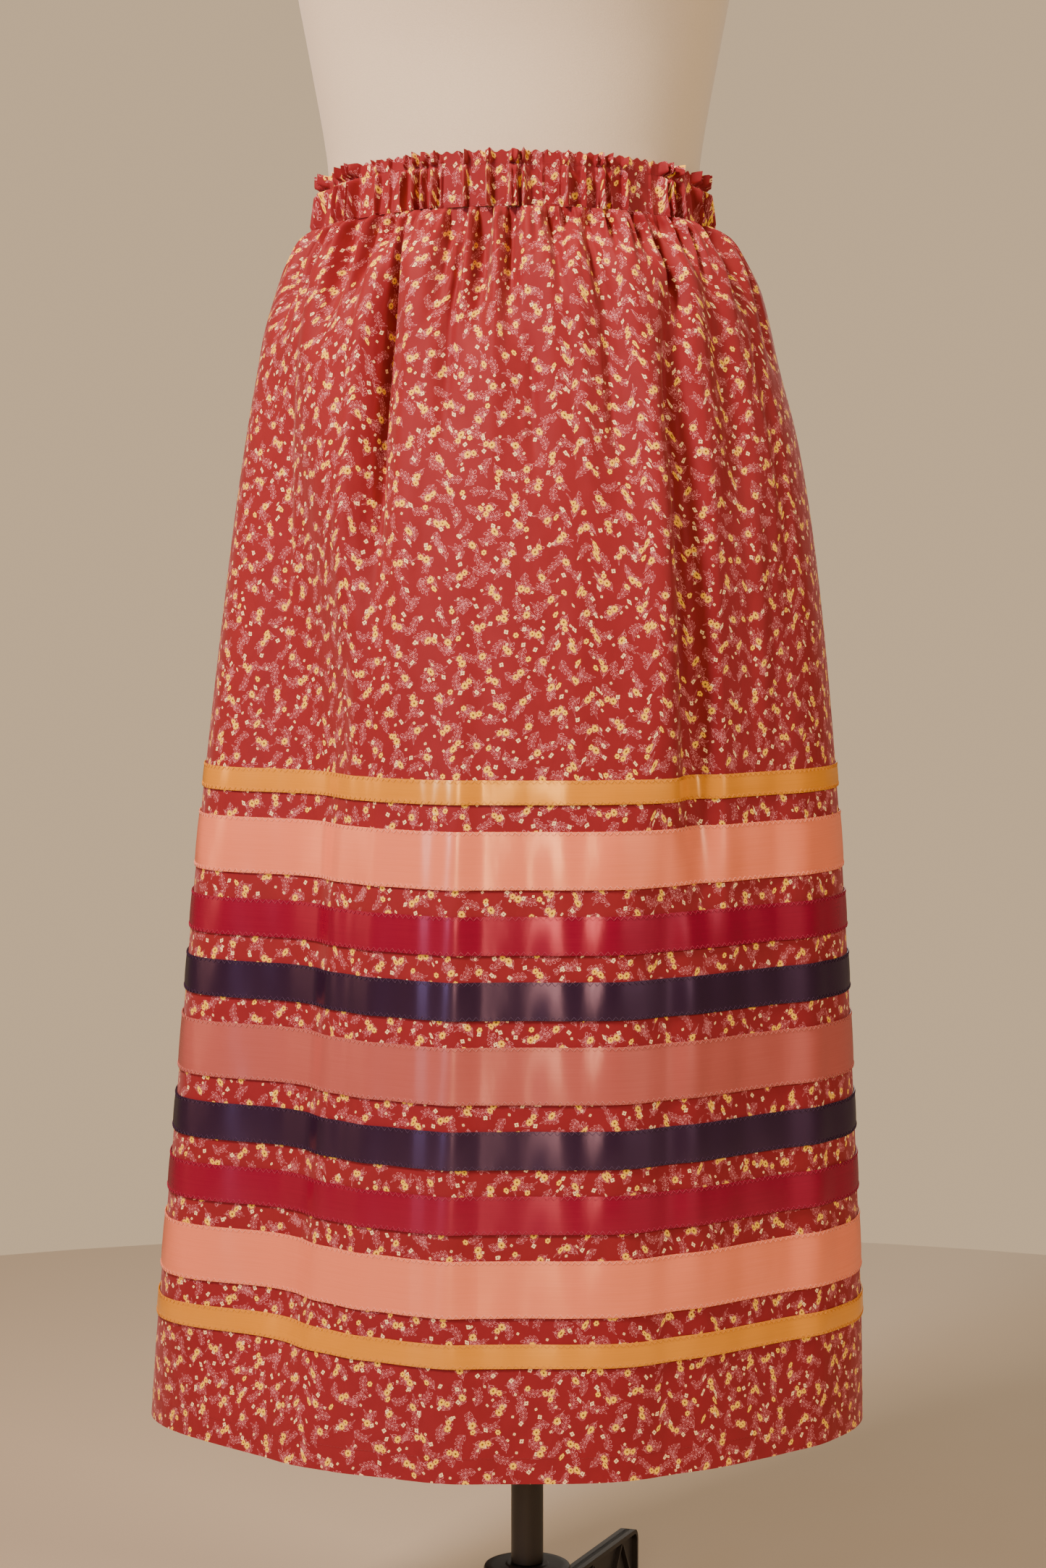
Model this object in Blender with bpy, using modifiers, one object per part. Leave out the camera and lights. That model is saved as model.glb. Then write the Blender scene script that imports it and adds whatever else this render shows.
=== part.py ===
"""A gathered ribbon skirt worn by a limbless dress form on a three-legged stand.

Run with: blender --background --python part.py
Metres, +Z up. The origin is on the floor, on the axis of the stand's pole. The front of the skirt
faces -Y, and +X is the viewer's right. A place round the skirt is its turn, in degrees: 0 is the
side seam at +X, 90 the centre front, 180 the side seam at -X and 270 the centre back.
"""

import math
from collections import namedtuple

import bmesh
import bpy
from mathutils import Vector

# Skirt, cut sizes
CLOTH = 0.0012
RIBBON_CLOTH = 0.0010
SEAM_GAP = 0.0003
SIDE_SEAM_GAP = 0.0006
RIBBON_LIFT = 0.0004
HEM_HEIGHT = 0.2185
RIBBON_TOP = 0.6840
RIBBON_SPACE = 0.0177
WIDE_RIBBON = 0.0381
MIDDLE_RIBBON = 0.0254
NARROW_RIBBON = 0.0159

# Elastic waist: a casing between two rows of stitching, with a gathered header above it
CASING_FOOT = 1.0500
CASING_HEIGHT = 0.0284
HEADER_HEIGHT = 0.0080
CASING_EASE = 0.0008
FRONT_RISE_FOOT = 0.0120
FRONT_RISE_TOP = 0.0130
GATHERS = 40
GATHER_HEIGHT = 0.0042
GATHER_FADE = 0.085
RISE_FADE = 0.120
NUDGE = 0.25
NUDGE_DOWN = 0.002

# Dress form and stand
FORM_OFFSET_X = -0.0093
FORM_FOOT = 0.8000
FORM_COLUMNS = 36
POLE_RADIUS = 0.0115
HUB_TOP = 0.1080
HUB_FLANGE_RADIUS = 0.0313
HUB_FLANGE_HEIGHT = 0.0100
HUB_BODY_RADIUS = 0.0250
HUB_EDGE = 0.0020
LEG_REACH = 0.2660
LEG_WIDTH = 0.0120
LEG_ROOT_HEIGHT = 0.0765
LEG_END_HEIGHT = 0.0580
LEG_FOOT_LENGTH = 0.0450
LEG_ARCH_HEIGHT = 0.0140
LEG_TURNS = (72.0, 192.0, 312.0)
ROUND_SEGMENTS = 32
MERGE_DISTANCE = 0.0001

# Distance of the cloth from the pole's axis to each side, at each height
Outline = namedtuple("Outline", "height left right front back")
SKIRT_OUTLINE = (
    Outline(1.0500, 0.1470, 0.1305, 0.1024, 0.0968),
    Outline(1.0380, 0.1560, 0.1425, 0.1110, 0.1050),
    Outline(1.0120, 0.1680, 0.1560, 0.1260, 0.1210),
    Outline(0.9720, 0.1830, 0.1700, 0.1365, 0.1340),
    Outline(0.9000, 0.1970, 0.1895, 0.1470, 0.1480),
    Outline(0.7910, 0.2120, 0.2055, 0.1600, 0.1600),
    Outline(0.6280, 0.2310, 0.2200, 0.1720, 0.1700),
    Outline(0.4640, 0.2460, 0.2295, 0.1765, 0.1760),
    Outline(0.2970, 0.2615, 0.2370, 0.1800, 0.1820),
    Outline(0.2185, 0.2680, 0.2386, 0.1850, 0.1860),
)

# A soft trough (depth below 0) or ridge: where it starts, is deepest, starts to fade and ends,
# its turn and half-width at its start, at its deepest and at its end, and the share left at its end
Fold = namedtuple(
    "Fold", "start deep fade end turn turn_deep turn_end half half_deep half_end depth share"
)
FOLDS = (
    Fold(1.06, 0.66, 0.33, 0.2185, 158, 138, 143, 14, 31, 39, -0.036, 0.50),
    Fold(1.04, 0.66, 0.33, 0.2185, 40, 44, 45, 16, 31, 40, -0.015, 0.80),
    Fold(1.05, 0.97, 0.88, 0.7200, 122, 121, 119, 4, 6, 8, -0.013, 0.00),
    Fold(1.06, 1.02, 0.96, 0.8800, 108, 106, 104, 4, 5, 6, -0.005, 0.00),
    Fold(1.04, 0.99, 0.94, 0.8600, 93, 90, 86, 5, 6, 7, -0.005, 0.00),
    Fold(1.06, 1.00, 0.92, 0.8400, 74, 70, 66, 5, 6, 7, -0.006, 0.00),
    Fold(1.05, 0.90, 0.74, 0.5200, 53, 56, 58, 5, 7, 8, -0.013, 0.00),
    Fold(1.06, 0.99, 0.93, 0.8200, 32, 40, 42, 5, 7, 8, -0.007, 0.00),
    Fold(1.05, 0.90, 0.74, 0.5600, 65, 65, 68, 6, 9, 10, 0.006, 0.00),
    Fold(1.05, 0.62, 0.35, 0.2185, 206, 214, 216, 12, 26, 32, -0.024, 0.70),
    Fold(1.06, 0.98, 0.86, 0.6800, 236, 238, 240, 6, 8, 10, -0.010, 0.00),
    Fold(1.06, 1.00, 0.93, 0.8200, 256, 254, 252, 5, 6, 7, -0.006, 0.00),
    Fold(1.05, 0.92, 0.70, 0.4800, 277, 275, 273, 6, 9, 12, -0.011, 0.00),
    Fold(1.06, 0.99, 0.91, 0.8000, 296, 298, 300, 5, 7, 8, -0.008, 0.00),
    Fold(1.05, 0.64, 0.35, 0.2185, 328, 322, 320, 12, 24, 30, -0.020, 0.70),
    Fold(1.05, 0.94, 0.82, 0.6400, 310, 309, 307, 5, 7, 8, 0.007, 0.00),
)

Ribbon = namedtuple("Ribbon", "name width colour")
RIBBONS = (
    Ribbon("gold_1", NARROW_RIBBON, "gold satin"),
    Ribbon("peach_2", WIDE_RIBBON, "peach satin"),
    Ribbon("raspberry_3", MIDDLE_RIBBON, "raspberry satin"),
    Ribbon("plum_4", MIDDLE_RIBBON, "plum satin"),
    Ribbon("rose_5", WIDE_RIBBON, "rose satin"),
    Ribbon("plum_6", MIDDLE_RIBBON, "plum satin"),
    Ribbon("raspberry_7", MIDDLE_RIBBON, "raspberry satin"),
    Ribbon("peach_8", WIDE_RIBBON, "peach satin"),
    Ribbon("gold_9", NARROW_RIBBON, "gold satin"),
)

# Rows of the skirt panels above the ribbons: height at the sides, and columns in one panel
PanelRow = namedtuple("PanelRow", "height columns")
UPPER_ROWS = (
    PanelRow(1.0497, 2 * GATHERS),
    PanelRow(1.0400, 2 * GATHERS),
    PanelRow(1.0260, 2 * GATHERS),
    PanelRow(1.0060, 2 * GATHERS),
    PanelRow(0.9750, 2 * GATHERS),
    PanelRow(0.9350, 2 * GATHERS),
    PanelRow(0.8850, GATHERS),
    PanelRow(0.8200, GATHERS),
    PanelRow(0.7520, GATHERS),
)
RIBBON_COLUMNS = GATHERS // 2
CASING_COLUMNS = 4 * GATHERS

# The two panels: the turn where each starts, and how far its side seams are drawn apart along Y.
# Their inner edges lean together round the curve, so the outer ones stand a little further apart.
Panel = namedtuple("Panel", "name start seam")
PANELS = (
    Panel("front", 0.0, -SIDE_SEAM_GAP / 2.0),
    Panel("back", 180.0, SIDE_SEAM_GAP / 2.0),
)

# Rows of the casing: height over its foot, how far its inside and outside are from the form,
# and how high the gathers stand
CasingRow = namedtuple("CasingRow", "height inside outside gather")
CASING_ROWS = (
    CasingRow(CASING_HEIGHT + HEADER_HEIGHT, 0.0030, 0.0048, 0.0030),
    CasingRow(CASING_HEIGHT, CASING_EASE, 0.0030, 0.0014),
    CasingRow(CASING_HEIGHT * 0.5, CASING_EASE, 0.0040, GATHER_HEIGHT),
    CasingRow(0.0, CASING_EASE, 0.0036, 0.0022),
)

# Sections of the dress form: half-width, front and back depth, and squareness of the corners
Section = namedtuple("Section", "height half front back square")
FORM_SECTIONS = (
    Section(0.8000, 0.1430, 0.0920, 0.1000, 2.2),
    Section(0.8150, 0.1520, 0.0980, 0.1070, 2.2),
    Section(0.8500, 0.1600, 0.1020, 0.1140, 2.2),
    Section(0.8950, 0.1620, 0.1040, 0.1160, 2.2),
    Section(0.9500, 0.1560, 0.1030, 0.1090, 2.2),
    Section(1.0100, 0.1425, 0.1000, 0.0980, 2.1),
    Section(1.0550, 0.1310, 0.0980, 0.0930, 2.0),
    Section(1.0810, 0.1280, 0.0975, 0.0915, 2.0),
    Section(1.1070, 0.1300, 0.0985, 0.0920, 2.0),
    Section(1.1700, 0.1410, 0.1050, 0.0945, 2.1),
    Section(1.2300, 0.1520, 0.1210, 0.0975, 2.2),
    Section(1.2800, 0.1590, 0.1330, 0.1000, 2.2),
    Section(1.3300, 0.1640, 0.1210, 0.1030, 2.3),
    Section(1.3800, 0.1700, 0.0990, 0.1020, 2.4),
    Section(1.4250, 0.1700, 0.0800, 0.0930, 2.4),
    Section(1.4550, 0.1480, 0.0670, 0.0810, 2.3),
    Section(1.4780, 0.1000, 0.0590, 0.0690, 2.1),
    Section(1.4950, 0.0680, 0.0550, 0.0600, 2.0),
    Section(1.5250, 0.0570, 0.0530, 0.0540, 2.0),
    Section(1.5500, 0.0545, 0.0510, 0.0510, 2.0),
    Section(1.5560, 0.0490, 0.0450, 0.0450, 2.0),
)

# Base colour, roughness and metallic value of each material
FINISHES = {
    "printed cotton": ((0.46, 0.055, 0.055, 1.0), 0.80, 0.0),
    "gold satin": ((0.80, 0.42, 0.10, 1.0), 0.35, 0.0),
    "peach satin": ((0.80, 0.33, 0.22, 1.0), 0.35, 0.0),
    "raspberry satin": ((0.40, 0.02, 0.06, 1.0), 0.35, 0.0),
    "plum satin": ((0.045, 0.018, 0.05, 1.0), 0.35, 0.0),
    "rose satin": ((0.50, 0.15, 0.12, 1.0), 0.35, 0.0),
    "linen jersey": ((0.74, 0.66, 0.54, 1.0), 0.90, 0.0),
    "black steel": ((0.03, 0.025, 0.022, 1.0), 0.45, 0.8),
    "black nylon": ((0.02, 0.018, 0.017, 1.0), 0.60, 0.0),
}


def clear_scene():
    """Removes the startup scene's objects."""
    for obj in list(bpy.data.objects):
        bpy.data.objects.remove(obj, do_unlink=True)


def make_material(name):
    """A Principled BSDF with the named finish."""
    if name in bpy.data.materials:
        return bpy.data.materials[name]
    colour, roughness, metallic = FINISHES[name]
    material = bpy.data.materials.new(name)
    material.use_nodes = True
    shader = material.node_tree.nodes["Principled BSDF"]
    shader.inputs["Base Color"].default_value = colour
    shader.inputs["Roughness"].default_value = roughness
    shader.inputs["Metallic"].default_value = metallic
    return material


def eased(share):
    """Smooth step from 0 to 1."""
    share = min(1.0, max(0.0, share))
    return share * share * (3.0 - 2.0 * share)


def at_height(table, column, height):
    """One column of a table of rows, read smoothly at a height."""
    rows = sorted(table, key=lambda row: row.height)
    height = min(rows[-1].height, max(rows[0].height, height))
    index = next(i for i in range(len(rows) - 1) if height <= rows[i + 1].height)
    before = rows[max(0, index - 1)]
    low, high = rows[index], rows[index + 1]
    after = rows[min(len(rows) - 1, index + 2)]
    span = high.height - low.height
    share = (height - low.height) / span

    def slope(a, b):
        return (getattr(b, column) - getattr(a, column)) / (b.height - a.height)

    slope_low = slope(before, high) * span
    slope_high = slope(low, after) * span
    start, end = getattr(low, column), getattr(high, column)
    return (
        (2 * share**3 - 3 * share**2 + 1) * start
        + (share**3 - 2 * share**2 + share) * slope_low
        + (3 * share**2 - 2 * share**3) * end
        + (share**3 - share**2) * slope_high
    )


def between(start, middle, end, upper, lower):
    """Value between start and middle by the upper share, then towards end by the lower share."""
    return start + (middle - start) * upper + (end - middle) * lower


def fold_depth(turn, height):
    """How far the folds push the cloth out (above 0) or in at a place."""
    depth = 0.0
    for fold in FOLDS:
        if height >= fold.start:
            continue
        upper = eased((fold.start - height) / (fold.start - fold.deep))
        lower = eased((fold.fade - height) / (fold.fade - fold.end))
        centre = between(fold.turn, fold.turn_deep, fold.turn_end, upper, lower)
        half = between(fold.half, fold.half_deep, fold.half_end, upper, lower)
        away = abs(turn - centre) / half
        if away < 1.0:
            strength = upper * (1.0 - (1.0 - fold.share) * lower)
            depth += fold.depth * strength * math.cos(away * math.pi / 2.0) ** 2
    return depth


def plan(turn, left, right, front, back):
    """Point and outward normal, in plan, of the oval with these four reaches."""
    angle = math.radians(turn)
    reach_x = right if math.cos(angle) >= 0.0 else left
    reach_y = front if math.sin(angle) >= 0.0 else back
    x, y = reach_x * math.cos(angle), -reach_y * math.sin(angle)
    normal_x, normal_y = math.cos(angle) / reach_x, -math.sin(angle) / reach_y
    length = math.hypot(normal_x, normal_y)
    return x, y, normal_x / length, normal_y / length


def seam_fade(turn):
    """0 at the two side seams and 1 a gather and a half away from them."""
    from_seam = min(turn % 180.0, 180.0 - turn % 180.0)
    return eased(from_seam / (1.5 * 180.0 / GATHERS))


def gather_wave(turn):
    """The row of gathers, from 0 in its hollows to 1 on its crests, uneven in height."""
    count = turn * GATHERS / 180.0
    uneven = 0.80 + 0.20 * math.sin(1.9 * count / 2.0 + math.sin(0.7 * count))
    return (0.5 + 0.5 * math.cos(2.0 * math.pi * count)) * uneven * seam_fade(turn)


def front_rise(turn, rise):
    """The waist sits higher at the centres than at the sides."""
    return rise * abs(math.sin(math.radians(turn)))


def panel_surface(turn, height):
    """A point of the skirt's outside, at a height given at the sides."""
    settled = eased((height - CASING_FOOT + RISE_FADE) / RISE_FADE)
    reaches = [at_height(SKIRT_OUTLINE, side, height) for side in Outline._fields[1:]]
    x, y, normal_x, normal_y = plan(turn, *reaches)
    gathered = eased((height - CASING_FOOT + GATHER_FADE) / GATHER_FADE)
    out = fold_depth(turn, height) + gather_wave(turn) * GATHER_HEIGHT * gathered
    lift = front_rise(turn, FRONT_RISE_FOOT) * settled
    return Vector((x + out * normal_x, y + out * normal_y, height + lift))


def panel_ring(panel, row, out=0.0):
    """A row of points across a panel, moved out from the cloth."""
    ring = []
    for i in range(row.columns + 1):
        turn = panel.start + 180.0 * i / row.columns
        point = panel_surface(turn, row.height)
        along = panel_surface(turn + NUDGE, row.height) - panel_surface(turn - NUDGE, row.height)
        down = panel_surface(turn, row.height - NUDGE_DOWN) - point
        moved = point + along.cross(down).normalized() * out
        ring.append((moved.x, moved.y + panel.seam, moved.z))
    return ring


def panel_rows():
    """The panels' rows, from the casing's lower stitching down to the hem."""
    rows = list(UPPER_ROWS)
    for index, ribbon in enumerate(RIBBONS):
        foot = ribbon_foot(index)
        rows += [PanelRow(foot + ribbon.width, RIBBON_COLUMNS), PanelRow(foot, RIBBON_COLUMNS)]
    return rows + [PanelRow(HEM_HEIGHT, RIBBON_COLUMNS)]


def bridge(mesh, above, below):
    """Joins two rows of points, one of which may have 2 or more times as many as the other."""
    fewer = min(len(above), len(below)) - 1
    step_above, step_below = (len(above) - 1) // fewer, (len(below) - 1) // fewer
    for i in range(fewer):
        first = above[i * step_above : (i + 1) * step_above + 1]
        second = below[i * step_below : (i + 1) * step_below + 1]
        for low, high in zip(second, second[1:]):
            mesh.faces.new((first[0], high, low))
        for low, high in zip(first, first[1:]):
            mesh.faces.new((second[-1], low, high))


def finish_object(name, data, material, collection, smooth_angle=40.0):
    """Makes an object of a mesh, shaded smooth up to an angle."""
    data.shade_smooth()
    data.set_sharp_from_angle(angle=math.radians(smooth_angle))
    data.materials.append(make_material(material))
    obj = bpy.data.objects.new(name, data)
    collection.objects.link(obj)
    return obj


def mesh_data(name, mesh):
    """A mesh datablock of a bmesh, which is freed."""
    data = bpy.data.meshes.new(name)
    mesh.to_mesh(data)
    mesh.free()
    return data


def loft(mesh, rings):
    """A surface between rows of points, listed from the top down. Gives the rows' vertices."""
    rows = [[mesh.verts.new(point) for point in ring] for ring in rings]
    for above, below in zip(rows, rows[1:]):
        bridge(mesh, above, below)
    return rows


def point_outwards(mesh):
    """Turns the faces of a closed bmesh outwards."""
    bmesh.ops.recalc_face_normals(mesh, faces=mesh.faces)
    if mesh.calc_volume(signed=True) < 0.0:
        bmesh.ops.reverse_faces(mesh, faces=mesh.faces)


def make_cloth(name, rings, thickness, offset, material, collection):
    """An open surface thickened into cloth, inwards at an offset of -1 and outwards at 1."""
    mesh = bmesh.new()
    loft(mesh, rings)
    obj = finish_object(name, mesh_data(name, mesh), material, collection)
    solidify = obj.modifiers.new("Cloth", "SOLIDIFY")
    solidify.thickness = thickness
    solidify.offset = offset
    solidify.use_even_offset = True
    solidify.use_quality_normals = True
    return obj


def make_panel(panel, collection):
    """The front or back panel, from the casing down to the hem."""
    rings = [panel_ring(panel, row) for row in panel_rows()]
    make_cloth(f"skirt_{panel.name}", rings, CLOTH, -1.0, "printed cotton", collection)


def form_reaches(height):
    """Half-width, front and back depth and squareness of the dress form at a height."""
    return [at_height(FORM_SECTIONS, column, height) for column in Section._fields[1:]]


def casing_ring(panel, row, columns, offset, gather):
    """A row of points across the casing over one panel, offset out from the dress form."""
    share = row.height / (CASING_HEIGHT + HEADER_HEIGHT)
    rise = FRONT_RISE_FOOT + (FRONT_RISE_TOP - FRONT_RISE_FOOT) * share
    ring = []
    for i in range(columns + 1):
        turn = panel.start + 180.0 * i / columns
        height = CASING_FOOT + row.height + front_rise(turn, rise)
        half, front, back, _ = form_reaches(height)
        x, y, normal_x, normal_y = plan(turn, half, half, front, back)
        out = offset + gather * gather_wave(turn)
        ring.append((FORM_OFFSET_X + x + out * normal_x, y + out * normal_y + panel.seam, height))
    return ring


def make_casing(panel, collection):
    """The elastic casing and its header over one panel: gathers outside, plain inside."""
    outside, inside = [], []
    for row in CASING_ROWS:
        outside.append(casing_ring(panel, row, CASING_COLUMNS, row.outside, row.gather))
        inside.append(casing_ring(panel, row, RIBBON_COLUMNS, row.inside, 0.0))
    mesh = bmesh.new()
    outer, inner = loft(mesh, outside), loft(mesh, inside)
    bridge(mesh, inner[0], outer[0])
    bridge(mesh, outer[-1], inner[-1])
    for end in (0, -1):
        bridge(mesh, [row[end] for row in outer], [row[end] for row in inner])
    point_outwards(mesh)
    name = f"casing_{panel.name}"
    finish_object(name, mesh_data(name, mesh), "printed cotton", collection)


def ribbon_foot(index):
    """Height of a ribbon's lower edge."""
    widths = sum(ribbon.width for ribbon in RIBBONS[: index + 1])
    return RIBBON_TOP - widths - RIBBON_SPACE * index


def make_ribbon(index, panel, collection):
    """One length of ribbon, sewn flat across a panel."""
    ribbon = RIBBONS[index]
    foot = ribbon_foot(index)
    rows = (PanelRow(foot + ribbon.width, RIBBON_COLUMNS), PanelRow(foot, RIBBON_COLUMNS))
    rings = [panel_ring(panel, row, RIBBON_LIFT) for row in rows]
    name = f"ribbon_{ribbon.name}_{panel.name}"
    make_cloth(name, rings, RIBBON_CLOTH, 1.0, ribbon.colour, collection)


def form_ring(height):
    """Points round the dress form at a height, as an oval with fuller corners, back to its start."""
    half, front, back, square = form_reaches(height)
    ring = []
    for i in range(FORM_COLUMNS + 1):
        angle = 2.0 * math.pi * (i % FORM_COLUMNS) / FORM_COLUMNS
        cos, sin = math.cos(angle), math.sin(angle)
        depth = back if sin > 0.0 else front
        x = math.copysign(abs(cos) ** (2.0 / square), cos) * half
        y = math.copysign(abs(sin) ** (2.0 / square), sin) * depth
        ring.append((FORM_OFFSET_X + x, y, height))
    return ring


def make_form(collection):
    """The limbless torso of the dress form, closed at its foot and neck."""
    rings = [form_ring(section.height) for section in reversed(FORM_SECTIONS)]
    mesh = bmesh.new()
    loft(mesh, rings)
    bmesh.ops.remove_doubles(mesh, verts=mesh.verts, dist=MERGE_DISTANCE)
    bmesh.ops.holes_fill(mesh, edges=mesh.edges)
    point_outwards(mesh)
    finish_object("form_torso", mesh_data("form_torso", mesh), "linen jersey", collection)


def make_hub(collection):
    """The hub that holds the pole: a turned profile, listed down its outer side."""
    flange_foot = HUB_TOP - HUB_FLANGE_HEIGHT
    profile = (
        (0.0, HUB_TOP),
        (HUB_FLANGE_RADIUS - HUB_EDGE, HUB_TOP),
        (HUB_FLANGE_RADIUS, HUB_TOP - HUB_EDGE),
        (HUB_FLANGE_RADIUS, flange_foot + HUB_EDGE),
        (HUB_BODY_RADIUS, flange_foot - HUB_EDGE),
        (HUB_BODY_RADIUS, 0.0),
        (0.0, 0.0),
    )
    mesh = bmesh.new()
    points = [mesh.verts.new((radius, 0.0, height)) for radius, height in profile]
    for start, end in zip(points, points[1:]):
        mesh.edges.new((start, end))
    hub = finish_object("stand_hub", mesh_data("stand_hub", mesh), "black nylon", collection)
    screw = hub.modifiers.new("Turn", "SCREW")
    screw.steps = screw.render_steps = ROUND_SEGMENTS
    screw.use_merge_vertices = True
    screw.merge_threshold = MERGE_DISTANCE


def make_pole(collection):
    """The round pole between the hub and the form."""
    foot, top = HUB_TOP + SEAM_GAP, FORM_FOOT - SEAM_GAP
    mesh = bmesh.new()
    bmesh.ops.create_cone(
        mesh,
        cap_ends=True,
        segments=ROUND_SEGMENTS,
        radius1=POLE_RADIUS,
        radius2=POLE_RADIUS,
        depth=top - foot,
    )
    pole = finish_object("stand_pole", mesh_data("stand_pole", mesh), "black steel", collection)
    pole.location.z = (top + foot) / 2.0


def make_leg(name, turn, collection):
    """A blade leg: a flat outline, extruded to its width and stood up along its turn."""
    root = HUB_BODY_RADIUS + SEAM_GAP
    arch_start = root + LEG_FOOT_LENGTH
    arch_end = LEG_REACH - LEG_FOOT_LENGTH
    outline = (
        (root, 0.0),
        (arch_start, 0.0),
        (arch_start + LEG_ARCH_HEIGHT, LEG_ARCH_HEIGHT),
        (arch_end - LEG_ARCH_HEIGHT, LEG_ARCH_HEIGHT),
        (arch_end, 0.0),
        (LEG_REACH, 0.0),
        (LEG_REACH, LEG_END_HEIGHT),
        (root, LEG_ROOT_HEIGHT),
    )
    curve = bpy.data.curves.new(name, "CURVE")
    curve.dimensions = "2D"
    curve.fill_mode = "BOTH"
    curve.extrude = LEG_WIDTH / 2.0
    spline = curve.splines.new("POLY")
    spline.points.add(len(outline) - 1)
    for point, (reach, height) in zip(spline.points, outline):
        point.co = (reach, height, 0.0, 1.0)
    spline.use_cyclic_u = True
    curve.materials.append(make_material("black nylon"))
    leg = bpy.data.objects.new(name, curve)
    collection.objects.link(leg)
    leg.rotation_euler = (math.radians(90.0), 0.0, math.radians(turn))


def main():
    """Builds the form, its stand and every piece of the skirt."""
    clear_scene()
    collection = bpy.data.collections.new("ribbon skirt on a dress form")
    bpy.context.scene.collection.children.link(collection)
    make_form(collection)
    make_pole(collection)
    make_hub(collection)
    for number, turn in enumerate(LEG_TURNS, start=1):
        make_leg(f"stand_leg_{number}", turn, collection)
    for panel in PANELS:
        make_casing(panel, collection)
        make_panel(panel, collection)
        for index in range(len(RIBBONS)):
            make_ribbon(index, panel, collection)


main()
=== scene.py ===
"""A ribbon skirt on a limbless dress form: fine cloth, ribbons, sewing and finishes over the frame.

Metres, +Z up. The origin is on the floor, on the axis of the stand's pole, and the front of the
skirt faces -Y. A place round the skirt is its turn, in degrees: 0 is the side seam at +X, 90 the
centre front, 180 the side seam at -X and 270 the centre back. Maps on cloth are in metres: along
the cloth first, down the cloth second.
"""

from __future__ import annotations

import logging
import math
from dataclasses import dataclass, field
from enum import Enum
from typing import Any, NamedTuple, Sequence

import bmesh
import bpy
import numpy as np
from mathutils import Matrix, Vector

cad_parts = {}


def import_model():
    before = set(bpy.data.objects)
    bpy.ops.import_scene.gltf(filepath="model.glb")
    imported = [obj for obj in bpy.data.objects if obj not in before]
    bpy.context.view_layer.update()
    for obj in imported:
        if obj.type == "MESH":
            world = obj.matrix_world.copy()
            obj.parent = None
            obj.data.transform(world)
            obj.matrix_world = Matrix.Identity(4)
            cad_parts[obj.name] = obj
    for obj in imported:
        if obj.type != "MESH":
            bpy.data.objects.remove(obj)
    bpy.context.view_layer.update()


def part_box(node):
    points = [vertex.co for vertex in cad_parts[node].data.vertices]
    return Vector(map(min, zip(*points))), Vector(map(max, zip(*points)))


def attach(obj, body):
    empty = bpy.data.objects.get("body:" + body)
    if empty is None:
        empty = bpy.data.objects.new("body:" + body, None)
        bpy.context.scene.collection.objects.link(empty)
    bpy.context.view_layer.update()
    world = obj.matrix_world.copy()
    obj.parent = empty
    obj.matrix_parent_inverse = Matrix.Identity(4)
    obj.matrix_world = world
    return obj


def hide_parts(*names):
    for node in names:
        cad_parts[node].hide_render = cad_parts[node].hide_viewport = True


LOG = logging.getLogger("ribbon_skirt")
MM = 0.001
CLOTH_MAP = "cloth_map"
# How far the form's middle is from the pole's axis, along X
FORM_OFFSET = -0.0093


class Outline(NamedTuple):
    """How far the cloth is from the pole's axis on each side, at a height."""

    height: float
    left: float
    right: float
    front: float
    back: float


SKIRT_OUTLINE = (
    Outline(1.0500, 0.1470, 0.1305, 0.1024, 0.0968),
    Outline(1.0380, 0.1560, 0.1425, 0.1110, 0.1050),
    Outline(1.0120, 0.1680, 0.1560, 0.1260, 0.1210),
    Outline(0.9720, 0.1830, 0.1700, 0.1365, 0.1340),
    Outline(0.9000, 0.1970, 0.1895, 0.1470, 0.1480),
    Outline(0.7910, 0.2120, 0.2055, 0.1600, 0.1600),
    Outline(0.6280, 0.2310, 0.2200, 0.1720, 0.1700),
    Outline(0.4640, 0.2460, 0.2295, 0.1765, 0.1760),
    Outline(0.2970, 0.2615, 0.2370, 0.1800, 0.1820),
    Outline(0.2185, 0.2680, 0.2386, 0.1850, 0.1860),
)


class Fold(NamedTuple):
    """A soft trough, with a depth below 0, or a ridge, running down the cloth.

    Heights where it starts, is deepest, starts to fade and ends; its turn and half-width at its
    start, at its deepest and at its end; its depth; and the share of it left at its end.
    """

    start: float
    deep: float
    fade: float
    end: float
    turn: float
    turn_deep: float
    turn_end: float
    half: float
    half_deep: float
    half_end: float
    depth: float
    share: float


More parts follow.
